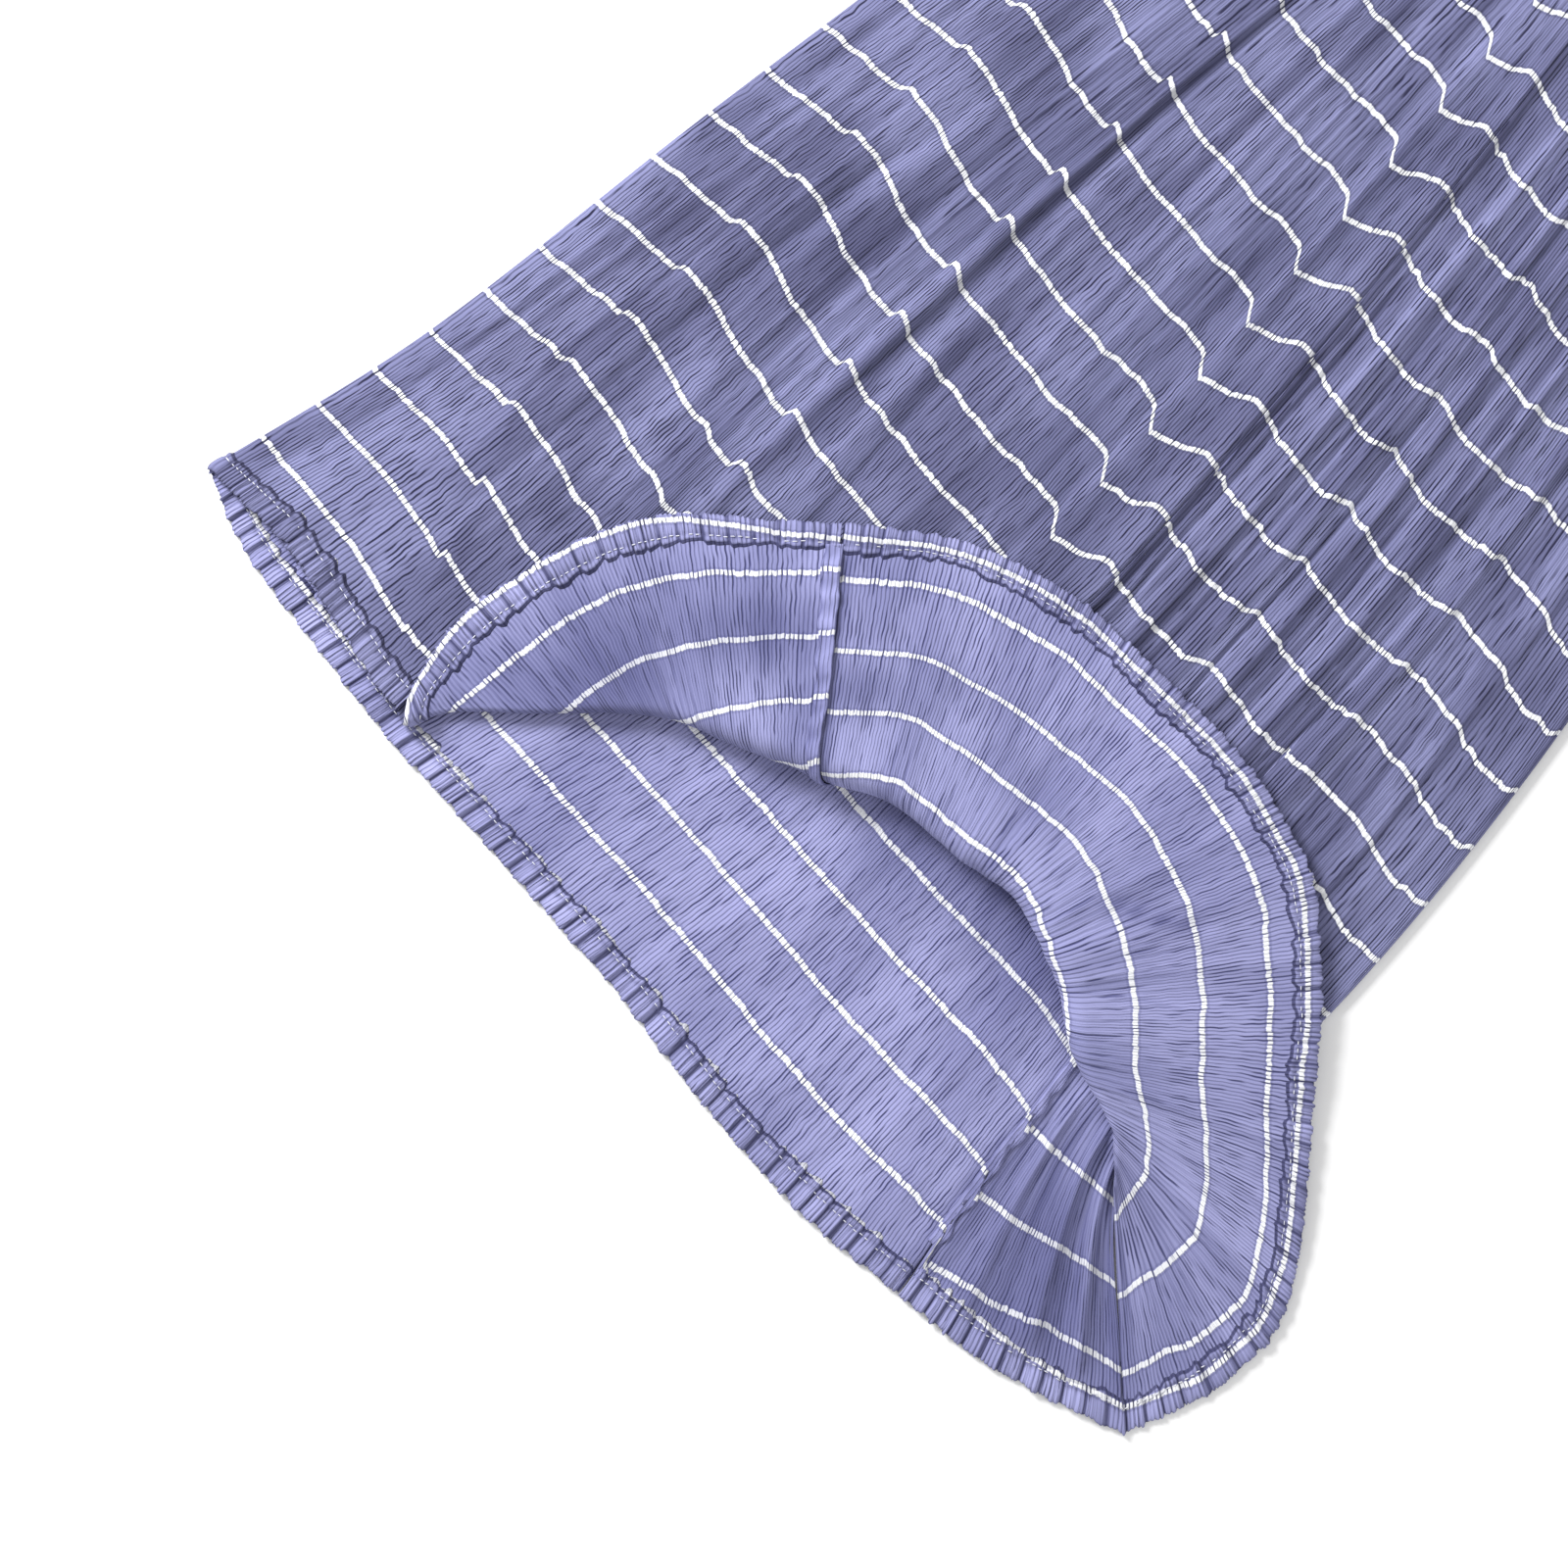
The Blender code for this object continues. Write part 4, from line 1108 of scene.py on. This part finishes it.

# %% [markdown]

# %% [markdown]
# The photograph looks straight down at the skirt, which runs up to the right. So the camera looks down
# too, and is rolled until the skirt's length points up to the right. A long lens keeps the view flat.

# %% Camera, light and floor
PHOTO_SIDE = 714.0
PHOTO_MIDDLE = np.array([-13.0, 89.0, 4.0])
PHOTO_ROLL = math.radians(43.2)
LENS, SENSOR, FAR_END = 100.0, 36.0, 20.0
FLOOR_HALF, FLOOR_DROP = 6.0, 0.0005
target = (PHOTO_MIDDLE + SHIFT) * MM
camera = add_object("camera", bpy.data.cameras.new("camera"))
camera.data.lens = LENS
camera.data.sensor_width = SENSOR
camera.data.clip_end = FAR_END
camera.location = (target[0], target[1], target[2] + PHOTO_SIDE * MM * LENS / SENSOR)
camera.rotation_euler = (0.0, 0.0, PHOTO_ROLL)
bpy.context.scene.camera = camera

right_way = np.array([math.cos(PHOTO_ROLL), math.sin(PHOTO_ROLL), 0.0])
up_way = np.array([-math.sin(PHOTO_ROLL), math.cos(PHOTO_ROLL), 0.0])


def soft_light(name, right, up, height, size, power):
    """A square softbox placed as seen in the photograph, aimed at the skirt."""
    lamp = bpy.data.lights.new(name, "AREA")
    lamp.size = size
    lamp.energy = power
    thing = add_object(name, lamp)
    place = target + right_way * right + up_way * up + np.array([0, 0, height])
    thing.location = place
    away = place - target
    lean, aim = math.atan2(math.hypot(away[0], away[1]), away[2]), math.atan2(away[1], away[0])
    thing.rotation_euler = (lean, 0.0, aim + math.pi / 2)


soft_light("window", -1.1, 1.3, 1.0, 0.7, 60.0)
soft_light("reflector", 1.2, -0.9, 1.4, 1.2, 8.0)
world = bpy.data.worlds.new("studio")
world.use_nodes = True
sky = world.node_tree.nodes["Background"]
sky.inputs["Color"].default_value = rgb(1.0, 1.0, 1.0)
sky.inputs["Strength"].default_value = 0.62
bpy.context.scene.world = world
bpy.context.scene.view_settings.view_transform = "Standard"

floor_mesh = bpy.data.meshes.new("floor")
corners = [(x * FLOOR_HALF, y * FLOOR_HALF, 0) for x, y in ((-1, -1), (1, -1), (1, 1), (-1, 1))]
floor_mesh.from_pydata(corners, [], [(0, 1, 2, 3)])
floor = add_object("floor", floor_mesh)
floor.location = (0.0, 0.0, -FLOOR_DROP)
pale = Finish("pale_floor")
pale.fill(pale.shader, {
    "Base Color": rgb(0.92, 0.92, 0.92), "Roughness": 0.9, "Specular IOR Level": 0.1,
})
floor_mesh.materials.append(pale.material)
print("camera at", [round(v, 3) for v in camera.location])

# %% Finish
bpy.context.view_layer.update()
